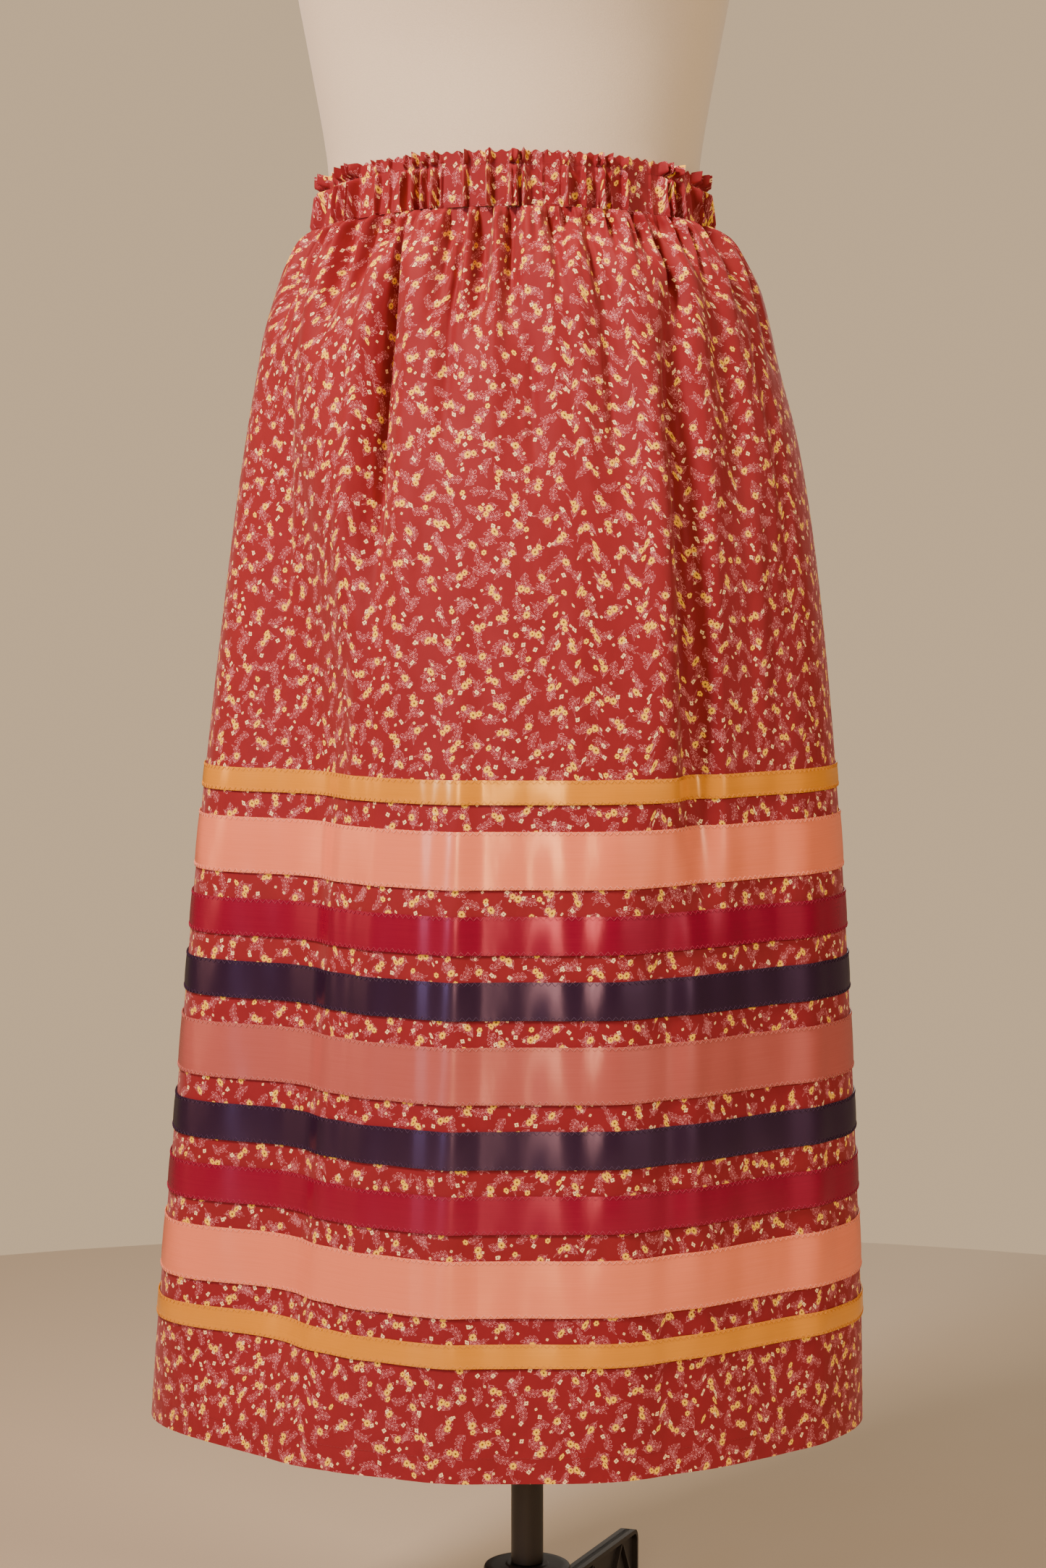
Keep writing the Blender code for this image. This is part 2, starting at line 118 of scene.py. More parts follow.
FOLDS = (
    Fold(1.06, 0.66, 0.33, 0.2185, 158, 138, 143, 14, 31, 39, -0.036, 0.50),
    Fold(1.04, 0.66, 0.33, 0.2185, 40, 44, 45, 16, 31, 40, -0.015, 0.80),
    Fold(1.05, 0.97, 0.88, 0.7200, 122, 121, 119, 4, 6, 8, -0.013, 0.00),
    Fold(1.06, 1.02, 0.96, 0.8800, 108, 106, 104, 4, 5, 6, -0.005, 0.00),
    Fold(1.04, 0.99, 0.94, 0.8600, 93, 90, 86, 5, 6, 7, -0.005, 0.00),
    Fold(1.06, 1.00, 0.92, 0.8400, 74, 70, 66, 5, 6, 7, -0.006, 0.00),
    Fold(1.05, 0.90, 0.74, 0.5200, 53, 56, 58, 5, 7, 8, -0.013, 0.00),
    Fold(1.06, 0.99, 0.93, 0.8200, 32, 40, 42, 5, 7, 8, -0.007, 0.00),
    Fold(1.05, 0.90, 0.74, 0.5600, 65, 65, 68, 6, 9, 10, 0.006, 0.00),
    Fold(1.05, 0.62, 0.35, 0.2185, 206, 214, 216, 12, 26, 32, -0.024, 0.70),
    Fold(1.06, 0.98, 0.86, 0.6800, 236, 238, 240, 6, 8, 10, -0.010, 0.00),
    Fold(1.06, 1.00, 0.93, 0.8200, 256, 254, 252, 5, 6, 7, -0.006, 0.00),
    Fold(1.05, 0.92, 0.70, 0.4800, 277, 275, 273, 6, 9, 12, -0.011, 0.00),
    Fold(1.06, 0.99, 0.91, 0.8000, 296, 298, 300, 5, 7, 8, -0.008, 0.00),
    Fold(1.05, 0.64, 0.35, 0.2185, 328, 322, 320, 12, 24, 30, -0.020, 0.70),
    Fold(1.05, 0.94, 0.82, 0.6400, 310, 309, 307, 5, 7, 8, 0.007, 0.00),
)

# Creases too fine for the solids, in the same columns
CREASES = (
    Fold(1.052, 1.020, 0.93, 0.8000, 121.5, 121.5, 119.5, 1.1, 1.4, 2.2, -0.0130, 0.0),
    Fold(1.052, 1.035, 1.02, 0.9700, 151, 151, 150, 1.2, 2.2, 3.0, -0.0075, 0.0),
    Fold(1.052, 1.040, 1.03, 0.9950, 136, 136, 136, 1.0, 2.0, 2.4, -0.0075, 0.0),
    Fold(1.052, 1.040, 1.02, 0.9600, 106, 106, 107, 1.0, 1.8, 2.4, -0.0081, 0.0),
    Fold(1.052, 1.040, 1.03, 0.9900, 101.6, 101, 100, 1.0, 1.8, 2.2, -0.0069, 0.0),
    Fold(1.052, 1.040, 1.03, 0.9850, 83.4, 83, 82, 1.0, 2.0, 2.4, -0.0081, 0.0),
    Fold(1.052, 1.040, 1.02, 0.9700, 74, 74, 71, 1.0, 2.0, 2.6, -0.0088, 0.0),
    Fold(1.052, 1.040, 1.02, 0.9800, 51.7, 52, 53, 1.2, 2.2, 2.8, -0.0094, 0.0),
    Fold(1.052, 1.040, 1.03, 0.9900, 38, 39, 40, 1.0, 2.2, 2.6, -0.0081, 0.0),
    Fold(1.052, 1.040, 1.03, 0.9900, 24, 25, 26, 1.0, 2.2, 2.6, -0.0075, 0.0),
    Fold(1.020, 0.90, 0.78, 0.6000, 56, 58.5, 60.5, 2.4, 3.0, 4.2, -0.0070, 0.0),
    Fold(1.000, 0.90, 0.80, 0.6400, 62, 64, 66, 3.0, 4.0, 5.0, 0.0026, 0.0),
    Fold(0.98, 0.95, 0.91, 0.8800, 90, 89, 88, 1.2, 1.8, 2.2, -0.0022, 0.0),
    Fold(1.00, 0.96, 0.92, 0.8600, 75, 72, 68.5, 1.4, 2.0, 2.6, -0.0028, 0.0),
    Fold(1.03, 0.98, 0.93, 0.8700, 107, 107, 106, 1.6, 2.2, 2.8, -0.0024, 0.0),
    Fold(1.02, 0.97, 0.92, 0.8400, 97, 97, 96, 2.0, 3.0, 4.0, 0.0020, 0.0),
    Fold(1.04, 0.98, 0.92, 0.8300, 80, 78, 76, 2.0, 3.0, 4.0, 0.0024, 0.0),
    Fold(1.03, 0.96, 0.88, 0.7000, 129, 128, 127, 2.0, 3.0, 4.0, 0.0030, 0.0),
    Fold(1.03, 0.90, 0.80, 0.6200, 148, 151, 152, 3.0, 4.0, 5.0, -0.0030, 0.0),
    Fold(0.94, 0.86, 0.78, 0.6600, 114, 113, 112, 3.0, 4.0, 5.0, 0.0026, 0.0),
    Fold(0.86, 0.78, 0.70, 0.6000, 124, 123, 122, 3.0, 4.0, 5.0, 0.0028, 0.0),
    Fold(0.88, 0.78, 0.72, 0.6300, 99, 98, 97, 3.0, 4.5, 6.0, -0.0018, 0.0),
    Fold(0.88, 0.80, 0.72, 0.6300, 82, 81, 80, 3.0, 4.5, 6.0, 0.0018, 0.0),
    Fold(1.03, 0.95, 0.88, 0.7400, 24, 26, 28, 3.0, 4.0, 5.0, -0.0030, 0.0),
    Fold(0.90, 0.82, 0.76, 0.6600, 36, 37, 38, 3.0, 4.0, 5.0, 0.0020, 0.0),
    Fold(0.76, 0.62, 0.35, 0.2185, 126, 127, 128, 5.0, 6.0, 8.0, 0.0036, 0.6),
    Fold(0.76, 0.62, 0.35, 0.2185, 112, 112, 112, 5.0, 6.0, 8.0, -0.0040, 0.6),
    Fold(0.76, 0.62, 0.35, 0.2185, 102, 102, 101, 4.0, 5.0, 7.0, 0.0042, 0.6),
    Fold(0.76, 0.62, 0.35, 0.2185, 90, 90, 89, 6.0, 8.0, 9.0, -0.0024, 0.5),
    Fold(0.76, 0.60, 0.40, 0.2185, 76, 75, 75, 5.0, 7.0, 9.0, 0.0028, 0.5),
    Fold(0.76, 0.60, 0.40, 0.2185, 66, 65, 64, 4.0, 6.0, 8.0, -0.0030, 0.5),
    Fold(0.76, 0.60, 0.40, 0.2185, 28, 30, 30, 6.0, 8.0, 9.0, 0.0030, 0.5),
    Fold(1.052, 1.040, 1.02, 0.9700, 202, 202, 203, 1.0, 2.2, 2.8, -0.0088, 0.0),
    Fold(1.052, 1.040, 1.03, 0.9850, 221, 221, 221, 1.0, 2.0, 2.4, -0.0081, 0.0),
    Fold(1.052, 1.035, 0.98, 0.8800, 238, 238, 239, 1.2, 2.0, 2.8, -0.0080, 0.0),
    Fold(1.052, 1.040, 1.03, 0.9800, 249, 249, 249, 1.0, 2.0, 2.4, -0.0075, 0.0),
    Fold(1.052, 1.040, 1.03, 0.9850, 263, 263, 262, 1.0, 2.0, 2.4, -0.0081, 0.0),
    Fold(1.052, 1.040, 1.02, 0.9600, 277, 277, 276, 1.2, 2.2, 2.8, -0.0094, 0.0),
    Fold(1.052, 1.040, 1.03, 0.9850, 290, 290, 291, 1.0, 2.0, 2.4, -0.0075, 0.0),
    Fold(1.052, 1.040, 1.03, 0.9800, 305, 305, 306, 1.0, 2.0, 2.4, -0.0081, 0.0),
    Fold(1.052, 1.040, 1.02, 0.9700, 322, 322, 321, 1.0, 2.2, 2.8, -0.0088, 0.0),
    Fold(1.052, 1.040, 1.03, 0.9850, 341, 341, 340, 1.0, 2.0, 2.4, -0.0075, 0.0),
    Fold(1.03, 0.95, 0.88, 0.7400, 224, 226, 227, 3.0, 4.0, 5.0, -0.0028, 0.0),
    Fold(1.03, 0.95, 0.90, 0.7900, 266, 267, 268, 3.0, 4.0, 5.0, 0.0024, 0.0),
    Fold(1.02, 0.94, 0.88, 0.7600, 286, 287, 289, 3.0, 4.0, 5.0, -0.0024, 0.0),
    Fold(1.03, 0.93, 0.86, 0.7200, 340, 338, 336, 3.0, 4.0, 5.0, -0.0030, 0.0),
    Fold(0.76, 0.62, 0.35, 0.2185, 203, 203, 204, 5.0, 7.0, 8.0, -0.0030, 0.5),
    Fold(0.76, 0.62, 0.35, 0.2185, 236, 235, 235, 5.0, 7.0, 9.0, 0.0036, 0.6),
    Fold(0.76, 0.60, 0.38, 0.2185, 251, 251, 252, 5.0, 6.0, 8.0, -0.0034, 0.6),
    Fold(0.76, 0.60, 0.38, 0.2185, 268, 268, 268, 5.0, 7.0, 9.0, 0.0034, 0.5),
    Fold(0.76, 0.62, 0.35, 0.2185, 290, 291, 292, 5.0, 7.0, 8.0, -0.0032, 0.6),
    Fold(0.76, 0.62, 0.35, 0.2185, 304, 304, 303, 5.0, 6.0, 8.0, 0.0032, 0.6),
    Fold(0.76, 0.62, 0.35, 0.2185, 338, 338, 337, 6.0, 8.0, 9.0, 0.0030, 0.5),
)


class FormSection(NamedTuple):
    """Half-width, front and back depth and corner fullness of the dress form at a height."""

    height: float
    half: float
    front: float
    back: float
    square: float


FORM_SECTIONS = (
    FormSection(0.8000, 0.1430, 0.0920, 0.1000, 2.2),
    FormSection(0.8150, 0.1520, 0.0980, 0.1070, 2.2),
    FormSection(0.8500, 0.1600, 0.1020, 0.1140, 2.2),
    FormSection(0.8950, 0.1620, 0.1040, 0.1160, 2.2),
    FormSection(0.9500, 0.1560, 0.1030, 0.1090, 2.2),
    FormSection(1.0100, 0.1425, 0.1000, 0.0980, 2.1),
    FormSection(1.0550, 0.1310, 0.0980, 0.0930, 2.0),
    FormSection(1.0810, 0.1280, 0.0975, 0.0915, 2.0),
    FormSection(1.1070, 0.1300, 0.0985, 0.0920, 2.0),
    FormSection(1.1700, 0.1410, 0.1050, 0.0945, 2.1),
    FormSection(1.2300, 0.1520, 0.1210, 0.0975, 2.2),
    FormSection(1.2800, 0.1590, 0.1330, 0.1000, 2.2),
    FormSection(1.3300, 0.1640, 0.1210, 0.1030, 2.3),
    FormSection(1.3800, 0.1700, 0.0990, 0.1020, 2.4),
    FormSection(1.4250, 0.1700, 0.0800, 0.0930, 2.4),
    FormSection(1.4550, 0.1480, 0.0670, 0.0810, 2.3),
    FormSection(1.4780, 0.1000, 0.0590, 0.0690, 2.1),
    FormSection(1.4950, 0.0680, 0.0550, 0.0600, 2.0),
    FormSection(1.5250, 0.0570, 0.0530, 0.0540, 2.0),
    FormSection(1.5500, 0.0545, 0.0510, 0.0510, 2.0),
    FormSection(1.5560, 0.0490, 0.0450, 0.0450, 2.0),
)


class Half(Enum):
    """The front and back halves of the skirt: where each starts, and its side of the seams."""

    FRONT = ("front", 0.0, -1.0)
    BACK = ("back", 180.0, 1.0)

    def __init__(self, word: str, start: float, side: float) -> None:
        """Keeps the half's name, its first turn and its side of the seams."""
        self.word = word
        self.start = start
        self.side = side

    def turns(self, columns: int) -> np.ndarray:
        """Turns of a row of points from one side seam to the other."""
        return self.start + np.linspace(0.0, 180.0, columns + 1)


def linear_rgba(colour: str) -> tuple[float, ...]:
    """Turns an sRGB hex colour to linear light.

    Args:
        colour: Six hex digits, such as "c0373a".

    Returns:
        Red, green, blue and an alpha of 1.
    """
    channels = []
    for i in (0, 2, 4):
        value = int(colour[i : i + 2], 16) / 255.0
        channels.append(value / 12.92 if value <= 0.04045 else ((value + 0.055) / 1.055) ** 2.4)
    return (*channels, 1.0)


def add_node(
    tree: bpy.types.NodeTree,
    kind: str,
    settings: dict[str, Any] | None = None,
    inputs: dict[str | int, Any] | None = None,
) -> bpy.types.Node:
    """Adds a node with its settings, its values and its links.

    Args:
        tree: The tree that gets the node.
        kind: The node's type, without Blender's prefix where it is a shader node.
        settings: Properties of the node by name.
        inputs: Values, or sockets or nodes to link from, by the input's name or number.

    Returns:
        The new node.
    """
    prefix = "" if kind.startswith(("Geometry", "Function", "Shader", "Node")) else "ShaderNode"
    node = tree.nodes.new(prefix + kind)
    for name, value in (settings or {}).items():
        setattr(node, name, value)
    for key, value in (inputs or {}).items():
        socket = node.inputs[key]
        if isinstance(value, bpy.types.Node):
            value = value.outputs[0]
        if isinstance(value, bpy.types.NodeSocket):
            tree.links.new(value, socket)
        else:
            socket.default_value = value
    return node


def eased(share: np.ndarray | float) -> np.ndarray:
    """Smooth step from 0 to 1."""
    share = np.clip(share, 0.0, 1.0)
    return share * share * (3.0 - 2.0 * share)


def read_table(table: Sequence[NamedTuple], column: str, height: np.ndarray) -> np.ndarray:
    """Reads one column of a table of sections smoothly at some heights.

    Args:
        table: Rows with a height.
        column: The name of the column.
        height: Heights to read at.

    Returns:
        One value for each height.
    """
    rows = sorted(table, key=lambda row: row.height)
    heights = np.array([row.height for row in rows])
    values = np.array([getattr(row, column) for row in rows])
    slopes = np.empty_like(values)
    slopes[1:-1] = (values[2:] - values[:-2]) / (heights[2:] - heights[:-2])
    slopes[0] = (values[1] - values[0]) / (heights[1] - heights[0])
    slopes[-1] = (values[-1] - values[-2]) / (heights[-1] - heights[-2])
    height = np.clip(height, heights[0], heights[-1])
    low = np.clip(np.searchsorted(heights, height) - 1, 0, len(rows) - 2)
    span = heights[low + 1] - heights[low]
    share = (height - heights[low]) / span
    return (
        (2 * share**3 - 3 * share**2 + 1) * values[low]
        + (share**3 - 2 * share**2 + share) * slopes[low] * span
        + (3 * share**2 - 2 * share**3) * values[low + 1]
        + (share**3 - share**2) * slopes[low + 1] * span
    )


def fold_depth(folds: Sequence[Fold], turn: np.ndarray, height: np.ndarray) -> np.ndarray:
    """How far folds push the cloth out, or in where it is below 0, at some places.

    Args:
        folds: The folds.
        turn: Turns across the cloth.
        height: Heights down it.

    Returns:
        A distance for each turn and height.
    """
    depth = np.zeros(np.broadcast(turn, height).shape)
    for fold in folds:
        upper = eased((fold.start - height) / (fold.start - fold.deep))
        lower = eased((fold.fade - height) / (fold.fade - fold.end))
        path = fold.turn + (fold.turn_deep - fold.turn) * upper
        path = path + (fold.turn_end - fold.turn_deep) * lower
        half = fold.half + (fold.half_deep - fold.half) * upper
        half = half + (fold.half_end - fold.half_deep) * lower
        away = np.clip(np.abs(turn - path) / half, 0.0, 1.0)
        strength = upper * (1.0 - (1.0 - fold.share) * lower)
        depth = depth + fold.depth * strength * np.cos(away * math.pi / 2.0) ** 2
    return depth


def plan(
    turn: np.ndarray, left: np.ndarray, right: np.ndarray, front: np.ndarray, back: np.ndarray
) -> tuple[np.ndarray, np.ndarray, np.ndarray, np.ndarray]:
    """Points and outward normals, in plan, of the oval with these four reaches.

    Args:
        turn: Turns round the oval.
        left: Its reach towards -X.
        right: Its reach towards +X.
        front: Its reach towards -Y.
        back: Its reach towards +Y.

    Returns:
        X and Y of the points, then X and Y of the normals.
    """
    cos, sin = np.cos(np.radians(turn)), np.sin(np.radians(turn))
    reach_x = np.where(cos >= 0.0, right, left)
    reach_y = np.where(sin >= 0.0, front, back)
    normal_x, normal_y = cos / reach_x, -sin / reach_y
    length = np.hypot(normal_x, normal_y)
    return reach_x * cos, -reach_y * sin, normal_x / length, normal_y / length


def grid_normals(points: np.ndarray) -> np.ndarray:
    """Outward unit normals of a grid of points, listed from the top down.

    Args:
        points: The grid.

    Returns:
        A normal for each point.
    """
    down = np.gradient(points, axis=0)
    along = np.gradient(points, axis=1)
    normals = np.cross(along, down)
    return normals / np.linalg.norm(normals, axis=2, keepdims=True)


@dataclass
class SkirtCloth:
    """The shape of the skirt's cloth, as in the solids, with its gathers and creases made finer."""

    casing_foot: float = 1.0500
    casing_height: float = 0.0284
    header_height: float = 0.0080
    rise_foot: float = 0.0120
    rise_top: float = 0.0130
    rise_fade: float = 0.120
    pleats: int = 66
    pleat_height: float = 0.0062
    crest: float = 1.2
    pleat_reach: tuple[float, float] = (0.026, 0.110)
    hollow: float = 0.008
    deep_share: float = 0.45
    pinch_shift: float = 0.30
    pinch_half: tuple[float, float] = (0.22, 0.34)
    deep_half: float = 0.22
    pinch_depth: tuple[float, float] = (0.30, 0.70)
    deep_depth: float = 1.30
    shallow_reach: float = 0.3
    reach_power: float = 1.4
    widening: float = 1.1
    swelling: float = 0.9
    deepest: float = 3.0
    groove: float = 0.0025
    groove_depth: float = 0.5
    form_gap: float = 0.0014
    side_gap: float = 0.0003
    seam_dip: float = 0.25
    cut_width: float = 0.710
    map_blend: float = 0.040
    seed: int = 11
    pinches: np.ndarray = field(init=False)

    def __post_init__(self) -> None:
        """Draws the place, half-width, depth and reach of the pinch between each two pleats."""
        draw = np.random.default_rng(self.seed)
        count = 2 * self.pleats
        pitch = 360.0 / count
        shift = self.pinch_shift
        turn = (np.arange(count) + 0.5 + draw.uniform(-shift, shift, count)) * pitch
        deep = np.where(draw.uniform(0.0, 1.0, count) < self.deep_share, 1.0, 0.0)
        half = (draw.uniform(*self.pinch_half, count) + self.deep_half * deep) * pitch
        depth = draw.uniform(*self.pinch_depth, count) + self.deep_depth * deep
        low, high = self.pleat_reach
        longer = self.shallow_reach + (1.0 - self.shallow_reach) * deep
        reach = low + (high - low) * draw.uniform(0.0, 1.0, count) ** self.reach_power * longer
        self.pinches = np.stack([turn, half, depth, reach], axis=1)

    def rise(self, turn: np.ndarray, rise: float) -> np.ndarray:
        """The waist sits higher at the centres than at the sides, with a soft dip at the seams.

        Args:
            turn: Turns across the cloth.
            rise: How far the centres sit above the side seams.

        Returns:
            How far each turn is lifted.
        """
        soft = self.seam_dip
        lift = np.hypot(np.sin(np.radians(turn)), soft) - soft
        return rise * lift / (math.hypot(1.0, soft) - soft)

    def pleat_wave(self, turn: np.ndarray, below: np.ndarray) -> np.ndarray:
        """The pleats, from 1 on their crests down into their pinches.

        Args:
            turn: Turns across the cloth.
            below: Distances below the casing's lower stitching.

        Returns:
            The wave, which fades out at each pinch's own reach.
        """
        wave = np.zeros(np.broadcast(turn, below).shape)
        for centre, half, depth, reach in self.pinches:
            share = np.clip(below / reach, 0.0, 1.0)
            away = (turn - centre) / (half * (1.0 + self.widening * share))
            swell = np.sin(np.clip(below / self.hollow, 0.0, 1.0) * math.pi / 2.0)
            swell = 1.0 + self.swelling * swell
            wave = wave + depth * swell * np.exp(-away * away) * eased(1.0 - share)
        return 1.0 - np.clip(wave, 0.0, self.deepest)

    def form_room(
        self, turn: np.ndarray, height: np.ndarray, reaches: Sequence[np.ndarray]
    ) -> np.ndarray:
        """How far the skirt's outline stands off the form.

        Args:
            turn: Turns across the cloth.
            height: Heights down the cloth.
            reaches: The outline's reaches to the left, right, front and back.

        Returns:
            The room between them for each turn and height.
        """
        half, front, back = (
            read_table(FORM_SECTIONS, column, height) for column in ("half", "front", "back")
        )
        across, ahead = np.cos(np.radians(turn)), np.sin(np.radians(turn))
        side = np.where(across > 0.0, reaches[1] - FORM_OFFSET, reaches[0] + FORM_OFFSET)
        end_room = np.where(ahead > 0.0, reaches[2] - front, reaches[3] - back)
        return (side - half) * across**2 + end_room * ahead**2

    def surface(self, turn: np.ndarray, height: np.ndarray) -> np.ndarray:
        """Points of the skirt's outside, without the side seams' gap.

        Args:
            turn: Turns across the cloth.
            height: Heights at the side seams, from the top down.

        Returns:
            A grid of points, one row for each height.
        """
        turn, height = turn[None, :], height[:, None]
        settled = eased((height - self.casing_foot + self.rise_fade) / self.rise_fade)
        reaches = [read_table(SKIRT_OUTLINE, side, height) for side in Outline._fields[1:]]
        x, y, normal_x, normal_y = plan(turn, *reaches)
        below = np.clip(self.casing_foot - height, 0.0, None)
        crest = eased(1.0 - below / self.pleat_reach[1])
        crest = crest * (1.0 - self.groove_depth * np.exp(-((below / self.groove) ** 2)))
        out = self.pleat_height * (self.pleat_wave(turn, below) - 1.0 + self.crest * crest)
        out = out + fold_depth(CREASES, turn, height)
        out = out + fold_depth(FOLDS, turn, height)
        crown = self.pleat_height * self.crest
        room = crown - self.form_gap + self.form_room(turn, height, reaches)
        out = crown - np.minimum(crown - out, room)
        lift = self.rise(turn, self.rise_foot) * settled
        z = np.broadcast_to(height, out.shape) + lift
        return np.stack([x + out * normal_x, y + out * normal_y, z], axis=2)

    def lift_off(self, points: np.ndarray, out: float, half: Half) -> np.ndarray:
        """Moves a grid of points out from the cloth, and to its side of the side seams.

        Args:
            points: The grid.
            out: How far out.
            half: The half of the skirt.

        Returns:
            The moved grid.
        """
        moved = points + grid_normals(points) * out
        moved[..., 1] += half.side * self.side_gap
        return moved

    def cloth_map(self, points: np.ndarray, top: float) -> np.ndarray:
        """Map positions in metres for a grid of points: along the cloth, then down it.

        Each row is measured over its folds, and rows near one another are averaged, so that the
        print keeps its shape on the crests and runs into the hollows.

        Args:
            points: The grid.
            top: How far down the cloth the first row is.

        Returns:
            A grid of pairs.
        """
        steps = np.linalg.norm(np.diff(points, axis=1), axis=2)
        along = np.pad(np.cumsum(steps, axis=1), ((0, 0), (1, 0)))
        along = along - 0.5 * along[:, -1:]
        height = points[..., 2].mean(axis=1)
        near = np.exp(-(((height[:, None] - height[None, :]) / self.map_blend) ** 2))
        along = near @ along / near.sum(axis=1, keepdims=True)
        down = np.linalg.norm(np.diff(points, axis=0), axis=2)
        length = top + np.vstack([np.zeros((1, points.shape[1])), np.cumsum(down, axis=0)])
        return np.stack([along, length], axis=2)


def quad_grid(rows: int, columns: int, first: int, flip: bool) -> np.ndarray:
    """Corner numbers of the faces of a grid of points, facing out unless it is flipped.

    Args:
        rows: How many rows the grid has.
        columns: How many points a row has.
        first: The number of its first point.
        flip: Whether its faces look inwards.

    Returns:
        Four corner numbers for each face.
    """
    corner = first + np.arange(rows - 1)[:, None] * columns + np.arange(columns - 1)[None, :]
    quads = np.stack([corner, corner + 1, corner + columns + 1, corner + columns], axis=2)
    quads = quads.reshape(-1, 4)
    return quads[:, ::-1] if flip else quads


def strip(first: np.ndarray, second: np.ndarray) -> np.ndarray:
    """Corner numbers of the faces between two lines of points."""
    return np.stack([first[:-1], first[1:], second[1:], second[:-1]], axis=1)


def wall_mesh(name: str, outer: np.ndarray, inner: np.ndarray, maps: np.ndarray) -> bpy.types.Mesh:
    """A closed wall between two grids of points.

    Args:
        name: The mesh's name.
        outer: The outside's grid.
        inner: The inside's grid, of the same shape.
        maps: Map positions of both grids.

    Returns:
        The mesh, with its map and smooth shading.
    """
    rows, columns = outer.shape[:2]
    count = rows * columns
    number = np.arange(count).reshape(rows, columns)
    inside = number + count
    faces = np.concatenate(
        [
            quad_grid(rows, columns, 0, False),
            quad_grid(rows, columns, count, True),
            strip(inside[0], number[0]),
            strip(number[-1], inside[-1]),
            strip(number[:, 0], inside[:, 0]),
            strip(inside[:, -1], number[:, -1]),
        ]
    )
    vertices = np.concatenate([outer.reshape(-1, 3), inner.reshape(-1, 3)])
    mesh = bpy.data.meshes.new(name)
    mesh.from_pydata(vertices.tolist(), [], faces.tolist())
    layer = mesh.uv_layers.new(name=CLOTH_MAP)
    both = np.concatenate([maps.reshape(-1, 2), maps.reshape(-1, 2)])
    layer.data.foreach_set("uv", both[faces.reshape(-1)].astype(np.float32).ravel())
    mesh.shade_smooth()
    mesh.set_sharp_from_angle(angle=math.radians(60.0))
    return mesh


def close_mesh(name: str, mesh: bmesh.types.BMesh) -> bpy.types.Mesh:
    """Turns a mesh's faces outwards and shades it smooth between its sharp edges.

    Args:
        name: The finished mesh's name.
        mesh: The mesh, which is freed.

    Returns:
        The finished mesh.
    """
    bmesh.ops.recalc_face_normals(mesh, faces=mesh.faces)
    data = bpy.data.meshes.new(name)
    mesh.to_mesh(data)
    mesh.free()
    data.shade_smooth()
    data.set_sharp_from_angle(angle=math.radians(30.0))
    return data


def slab(mesh: bmesh.types.BMesh, outlines: Sequence[Sequence[Vector]], half: float) -> None:
    """Adds flat shapes as closed slabs, from half below their plane to half above it.

    Args:
        mesh: The mesh that gets them.
        outlines: The corners of each shape.
        half: Half of the slabs' thickness.
    """
    for outline in outlines:
        low = [mesh.verts.new((point.x, point.y, -half)) for point in outline]
        high = [mesh.verts.new((point.x, point.y, half)) for point in outline]
        mesh.faces.new(list(reversed(low)))
        mesh.faces.new(high)
        for index in range(len(outline)):
            after = (index + 1) % len(outline)
            mesh.faces.new((low[index], low[after], high[after], high[index]))


def place_piece(
    mesh: bpy.types.Mesh, node: str | None, material: bpy.types.Material
) -> bpy.types.Object:
    """Makes a mesh a piece of the part, under the mesh's name.

    Args:
        mesh: The mesh, in the part's frame.
        node: The frame's node that it replaces, if it does.
        material: Its finish.

    Returns:
        The new object, riding on the part's one body.
    """
    mesh.materials.clear()
    mesh.materials.append(material)
    piece = bpy.data.objects.new(mesh.name, mesh)
    bpy.context.scene.collection.objects.link(piece)
    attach(piece, "root")
    if node:
        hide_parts(node)
    LOG.info("%s: %d faces", piece.name, len(mesh.polygons))
    return piece


# The setting that a step's choice fills, for each kind of node that has one
CHOICES = {
    "GeometryNodeResampleCurve": "mode",
    "Group": "node_tree",
    "Math": "operation",
    "Mix": "data_type",
    "TexWhiteNoise": "noise_dimensions",
    "UVMap": "uv_map",
    "VectorMath": "operation",
    "VectorRotate": "rotation_type",
}


class Step(NamedTuple):
    """One node of a tree: its name, its kind, its main choice and its inputs.

    The inputs are in the node's order, or keyed by name or number. An input that is a word takes
    another step's first output, or one of its others by name or number after a dot.
    """

    name: str
    kind: str
    choice: Any = None
    inputs: tuple[Any, ...] | dict[str | int, Any] = ()


def follow_steps(
    tree: bpy.types.NodeTree, steps: Sequence[Step], known: dict[str, bpy.types.NodeSocket]
) -> dict[str, bpy.types.NodeSocket]:
    """Adds the nodes of some steps in order.

    Args:
        tree: The tree that gets them.
        steps: The steps.
        known: Sockets that the steps may name.

    Returns:
        The known sockets and the outputs of each step, by name.
    """
    sockets = dict(known)
    for step in steps:
        settings = {} if step.choice is None else {CHOICES[step.kind]: step.choice}
        given = step.inputs if isinstance(step.inputs, dict) else dict(enumerate(step.inputs))
        inputs = {
            key: sockets[value] if isinstance(value, str) else value
            for key, value in given.items()
        }
        node = add_node(tree, step.kind, settings, inputs)
        for index, output in reversed(list(enumerate(node.outputs))):
            sockets[f"{step.name}.{output.name}"] = output
            sockets[f"{step.name}.{index}"] = output
            sockets[step.name] = output
    return sockets


def colour_mix(share: Any, first: Any, second: Any) -> dict[int, Any]:
    """Inputs of a colour mix: its share of the second colour and its two colours."""
    return {0: share, 6: first, 7: second}


